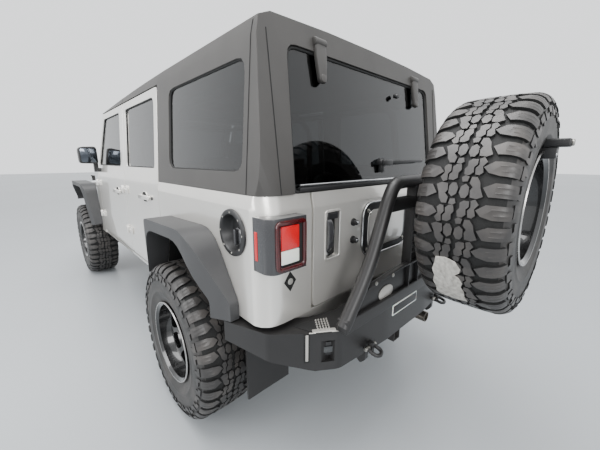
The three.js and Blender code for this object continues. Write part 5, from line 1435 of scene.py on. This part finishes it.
# ---- cabin --------------------------------------------------------------------------------------
def cushion(size, place, lean, channels):
    """A stuffed pad: crowned face, sides drawn in between the corners, and sewn channels across it."""
    bpy.ops.mesh.primitive_cube_add(size=1)
    obj = bpy.context.object
    edited(obj, (bpy.ops.mesh.subdivide, {"number_cuts": 15}))
    length, width, depth = size
    for vertex in obj.data.vertices:
        u, v, w = vertex.co * 2
        inner = (1 - u ** 4) * (1 - v ** 4)
        crown = 0.16 * inner * (1 if w > 0 else 0.25)
        pinch_u = 1 - 0.05 * (1 - v * v) - 0.10 * w ** 4
        pinch_v = 1 - 0.04 * (1 - u * u) - 0.08 * w ** 4
        seam = sum(math.exp(-((u - at) / 0.05) ** 2) for at in channels) * 0.10 * (w > 0.5) * (abs(v) < 0.72)
        flank = math.exp(-((abs(v) - 0.70) / 0.06) ** 2) * 0.10 * (w > 0.5)
        bolster = 0.14 * max(0.0, abs(v) - 0.72) / 0.28 * (w > 0)
        vertex.co = Vector((u * pinch_u * length / 2, v * pinch_v * width / 2,
                            (w * (1 - 0.10 * inner) + crown - seam - flank + bolster) * depth / 2))
    modified(obj, "SUBSURF", levels=1)
    obj.data.transform(Matrix.Translation(place) @ Matrix.Rotation(-lean, 4, "Y"))
    return smoothed(obj, 60)


def soft_piece(obj, name, slot, *replaced):
    kept(painted(obj, FINISHES["cloth"]), name, "body", slot, *replaced)


class OffroadSeats(bpy.types.Operator):
    """Two bucket seats and the rear bench, as stuffed cushions on their frames."""

    bl_idname = "offroad.seats"
    bl_label = "Seats"

    def execute(self, context):
        for side, sign in SIDES:
            low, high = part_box(f"front_seat_{side}")
            y, width = (low.y + high.y) / 2, high.y - low.y
            base = painted(block((low.x + 0.15, y - width * 0.42, low.z + 0.001), (high.x - 0.10, y + width * 0.42,
                                 0.850), 0.02, 3), FINISHES["vinyl"])
            stalks = [painted(bar(0.007, (0.215, y + dy, 1.36), (0.200, y + dy, 1.50), 12), FINISHES["chrome"])
                      for dy in (-0.06, 0.06)]
            kept(joined(base, *stalks), f"front_seat_{side}_base", "body", "seat_fabric", f"front_seat_{side}")
            soft_piece(cushion((0.46, width * 0.98, 0.13), (0.490, y, 0.925), 0.10, (-0.4, 0.0, 0.4)),
                       f"front_seat_{side}_cushion", "seat_fabric")
            soft_piece(cushion((0.50, width * 0.94, 0.12), (0.270, y, 1.175), -1.40, (-0.45, -0.05, 0.35)),
                       f"front_seat_{side}_back", "seat_fabric")
            soft_piece(cushion((0.16, 0.26, 0.10), (0.205, y, 1.545), -1.45, ()),
                       f"front_seat_{side}_headrest", "seat_fabric")
        low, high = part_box("rear_seat")
        bench = painted(block((low.x + 0.17, low.y + 0.03, low.z + 0.001), (high.x - 0.09, high.y - 0.03, 0.850),
                              0.02, 3), FINISHES["vinyl"])
        kept(bench, "rear_bench_base", "body", "seat_fabric", "rear_seat")
        for index, y in enumerate((-0.355, 0.0, 0.355)):
            soft_piece(cushion((0.42, 0.345, 0.13), (-0.420, y, 0.920), 0.08, (-0.35, 0.15)),
                       f"rear_cushion_{index + 1}", "seat_fabric")
            soft_piece(cushion((0.46, 0.345, 0.11), (-0.680, y, 1.155), -1.33, (-0.4, 0.0, 0.4)),
                       f"rear_back_{index + 1}", "seat_fabric")
            soft_piece(cushion((0.11, 0.22, 0.08), (-0.755, y, 1.395), -1.40, ()),
                       f"rear_headrest_{index + 1}", "seat_fabric")
        return {"FINISHED"}


class OffroadDashboard(bpy.types.Operator):
    """Dashboard with its displays, vents, grab bar, steering wheel and column."""

    bl_idname = "offroad.dashboard"
    bl_label = "Dashboard"

    def execute(self, context):
        low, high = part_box("dashboard")
        x = high.x - 0.002
        half = high.y
        pad = painted(plate([(px, -half, z) for px, z in (
            (x - 0.190, low.z), (x - 0.222, 1.180), (x - 0.205, 1.245), (x - 0.160, 1.288), (x - 0.06, 1.296),
            (x, 1.297), (x, low.z))], (0, 2 * half, 0), 0.016, 4), FINISHES["vinyl"])
        front = x - 0.222
        band = painted(block((front - 0.004, -half + 0.03, 1.130), (front + 0.02, half - 0.03, 1.185), 0.004),
                       FINISHES["steelwork"])
        display = painted(block((front - 0.012, -0.12, 1.140), (front + 0.01, 0.12, 1.262), 0.006, 3),
                          FINISHES["screen"])
        dials = painted(block((front - 0.030, 0.255, 1.195), (front + 0.05, 0.495, 1.290), 0.02, 4), FINISHES["trim"])
        vents = []
        for y in (-0.62, -0.19, 0.19, 0.62):
            vents.append(painted(ring([(0.030, 0), (0.036, 0.004), (0.036, 0.012), (0.028, 0.010), (0.026, 0.004),
                                       (0, 0.003), (0, 0)], (front - 0.003, y, 1.205), BACK, 28), FINISHES["trim"]))
        grab = painted(pipe(bent([(front, -0.28, 1.215), (front - 0.035, -0.29, 1.215), (front - 0.035, -0.46, 1.215),
                                  (front, -0.47, 1.215)], 0.03, 5), 0.011), FINISHES["seal"])
        column_end = Vector((x - 0.30, 0.375, 1.200))
        wheel_at = Vector((x - 0.32, 0.375, 1.208))
        axis = Vector((-math.cos(0.44), 0, math.sin(0.44)))
        rim_profile = [(0.180 + 0.0145 * math.cos(t * math.pi / 6), 0.0145 * math.sin(t * math.pi / 6))
                       for t in range(12)]
        rim_profile.append(rim_profile[0])
        hoop = painted(ring(rim_profile, wheel_at, axis, 64), FINISHES["vinyl"])
        across = Vector((0, 1, 0))
        down = axis.cross(across)
        if down.z > 0:
            down = -down
        spokes = [painted(bar(0.012, wheel_at, wheel_at + reach, 14, 0.003), FINISHES["bezel"])
                  for reach in (across * 0.172, across * -0.172, down * 0.172)]
        boss = painted(bar(0.062, wheel_at - axis * 0.030, wheel_at + axis * 0.014, 40, 0.010), FINISHES["vinyl"])
        column = painted(bar(0.030, column_end, (x - 0.19, 0.375, 1.148), 24), FINISHES["trim"])
        stalks = [painted(bar(0.006, wheel_at - axis * 0.03, wheel_at - axis * 0.035 + across * s * 0.15, 12),
                          FINISHES["trim"]) for s in (-1, 1)]
        console = painted(block((0.20, -0.105, 0.700), (0.74, 0.105, 0.930), 0.02, 3), FINISHES["vinyl"])
        lever = painted(bar(0.009, (0.60, 0, 0.92), (0.575, 0, 1.045), 14), FINISHES["chrome"])
        knob = painted(bar(0.024, (0.578, 0, 1.03), (0.570, 0, 1.085), 24, 0.010), FINISHES["trim"])
        kept(joined(band, display, dials, *vents, grab, hoop, *spokes, boss, column, *stalks, console, lever, knob,
                    pad), "dashboard_and_wheel", "body", "black_trim", "dashboard")
        return {"FINISHED"}


class OffroadRollCage(bpy.types.Operator):
    """Padded cage tubes: two hoops, two roof rails, a header and the rear legs."""

    bl_idname = "offroad.roll_cage"
    bl_label = "Roll cage"

    def execute(self, context):
        low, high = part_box("roll_cage")
        side, top = high.y - 0.024, high.z - 0.032
        foot = low.z + 0.002
        parts = []
        for x in (0.0437, -0.690):
            parts.append(pipe(bent([(x, side, foot), (x, side, top - 0.11), (x, side - 0.16, top + 0.006),
                                    (x, -side + 0.16, top + 0.006), (x, -side, top - 0.11), (x, -side, foot)],
                                   0.12, 8), 0.024, 6))
        rail_y, rail_z = side - 0.070, top - 0.014
        front_x, back_x = high.x - 0.022, low.x + 0.10
        for _, sign in SIDES:
            parts.append(pipe(bent([(front_x, sign * rail_y, rail_z), (back_x, sign * rail_y, rail_z),
                                    (low.x + 0.022, sign * rail_y, 1.315)], 0.10, 8), 0.022, 6))
        parts.append(pipe([(front_x, -rail_y, rail_z), (front_x, 0, rail_z), (front_x, rail_y, rail_z)], 0.022, 6))
        kept(painted(joined(*parts), FINISHES["vinyl"]), "roll_cage_tubes", "body", "satin_black_steel", "roll_cage")
        return {"FINISHED"}


# ---- chassis ------------------------------------------------------------------------------------
def coil(place, radius, height, turns, wire):
    """A coil spring standing on the place."""
    steps = int(turns * 20)
    points = [place + Vector((radius * math.cos(i * math.pi / 10), radius * math.sin(i * math.pi / 10),
                              height * i / steps)) for i in range(steps + 1)]
    return pipe(points, wire, 3)


class OffroadChassis(bpy.types.Operator):
    """Frame, powertrain, axles with springs, steering, exhaust and fuel tank."""

    bl_idname = "offroad.chassis"
    bl_label = "Chassis"

    def execute(self, context):
        turns = context.scene.offroad_sizes.spring_turns
        for node, body, edge, finish, slot in (
                ("frame", "body", 0.004, "chassis", "chassis_black"),
                ("powertrain", "body", 0.010, "casting", "cast_metal"),
                ("fuel_tank", "body", 0.018, "steelwork", "chassis_black"),
                ("exhaust", "body", 0.0, "exhaust", "exhaust_steel"),
                ("knuckle_left", "left_knuckle", 0.004, "casting", "cast_metal"),
                ("knuckle_right", "right_knuckle", 0.004, "casting", "cast_metal")):
            kept(painted(rounded(copied(node), edge, 3), FINISHES[finish]), f"{node}_piece", body, slot, node)
        low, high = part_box("tie_rod")
        mid = (low + high) / 2
        rod = bar(0.013, (mid.x, low.y, mid.z), (mid.x, high.y, mid.z), 20)
        sleeves = [bar(0.0145, (mid.x, s * 0.42, mid.z), (mid.x, s * 0.56, mid.z), 20) for s in (-1, 1)]
        kept(painted(joined(*sleeves, rod), FINISHES["chassis"]), "tie_rod_tube", "tie_rod", "chassis_black", "tie_rod")

        for end, hub, diff_y, diff_reach, cover, spring_x, spring_top in (
                ("front", FRONT_HUB, 0.200, 0.104, 1, 0.0, 0.612), ("rear", REAR_HUB, 0.0, 0.142, -1, 0.030, 0.645)):
            shell = painted(rounded(copied(f"{end}_axle"), 0.004, 2), FINISHES["chassis"])
            parts = []
            for _, sign in SIDES:
                foot = Vector((hub.x + spring_x, sign * 0.470, hub.z + 0.030))
                parts.append(painted(coil(foot, 0.056, spring_top - foot.z, turns, 0.0075), FINISHES["steelwork"]))
                parts.append(painted(bar(0.066, foot - UP * 0.012, foot, 28), FINISHES["chassis"]))
            for i in range(10):
                turn = 2 * math.pi * i / 10
                spot = Vector((hub.x + cover * diff_reach * 0.66, diff_y + 0.74 * diff_reach * math.cos(turn),
                               hub.z + 0.80 * diff_reach * math.sin(turn)))
                parts.append(bolt(spot, (cover, 0, 0), 0.008, "zinc", 0.005))
            plug = Vector((hub.x + cover * diff_reach * 0.985, diff_y, hub.z))
            parts.append(bolt(plug, (cover, 0, 0), 0.011, "zinc", 0.006))
            kept(joined(*parts, shell), f"{end}_axle_assembly", "body", "chassis_black", f"{end}_axle")
        return {"FINISHED"}


# ---- panel and main -----------------------------------------------------------------------------
OPERATORS = [
    OffroadStage, OffroadPanels, OffroadHardtop, OffroadFlares, OffroadGlass, OffroadWheels, OffroadTailLamps,
    OffroadFiller, OffroadTailgateFittings, OffroadRearGlassFittings, OffroadRearBumper, OffroadCarrier,
    OffroadSealantPatch, OffroadDoorFittings, OffroadMirrors, OffroadFrontEnd, OffroadSeats, OffroadDashboard,
    OffroadRollCage, OffroadChassis]


class OffroadSidebar(bpy.types.Panel):
    """Lists the car's groups of pieces."""

    bl_idname = "OFFROAD_PT_sidebar"
    bl_label = "Off-road car"
    bl_space_type = "VIEW_3D"
    bl_region_type = "UI"
    bl_category = "Off-road car"

    def draw(self, context):
        for operator in OPERATORS:
            self.layout.operator(operator.bl_idname)
        for group in (context.scene.offroad_sizes, context.scene.offroad_finishes):
            for name in group.bl_rna.properties.keys():
                if name not in ("rna_type", "name"):
                    self.layout.prop(group, name)


CLASSES = [OffroadFinishes, OffroadSizes, *OPERATORS, OffroadSidebar]


def register():
    for each in CLASSES:
        bpy.utils.register_class(each)
    bpy.types.Scene.offroad_finishes = bpy.props.PointerProperty(type=OffroadFinishes)
    bpy.types.Scene.offroad_sizes = bpy.props.PointerProperty(type=OffroadSizes)


def unregister():
    del bpy.types.Scene.offroad_finishes
    del bpy.types.Scene.offroad_sizes
    for each in reversed(CLASSES):
        bpy.utils.unregister_class(each)


def main():
    register()
    make_finishes(bpy.context.scene.offroad_finishes)
    for operator in OPERATORS:
        group, name = operator.bl_idname.split(".")
        getattr(getattr(bpy.ops, group), name)()


if __name__ == "__main__":
    main()
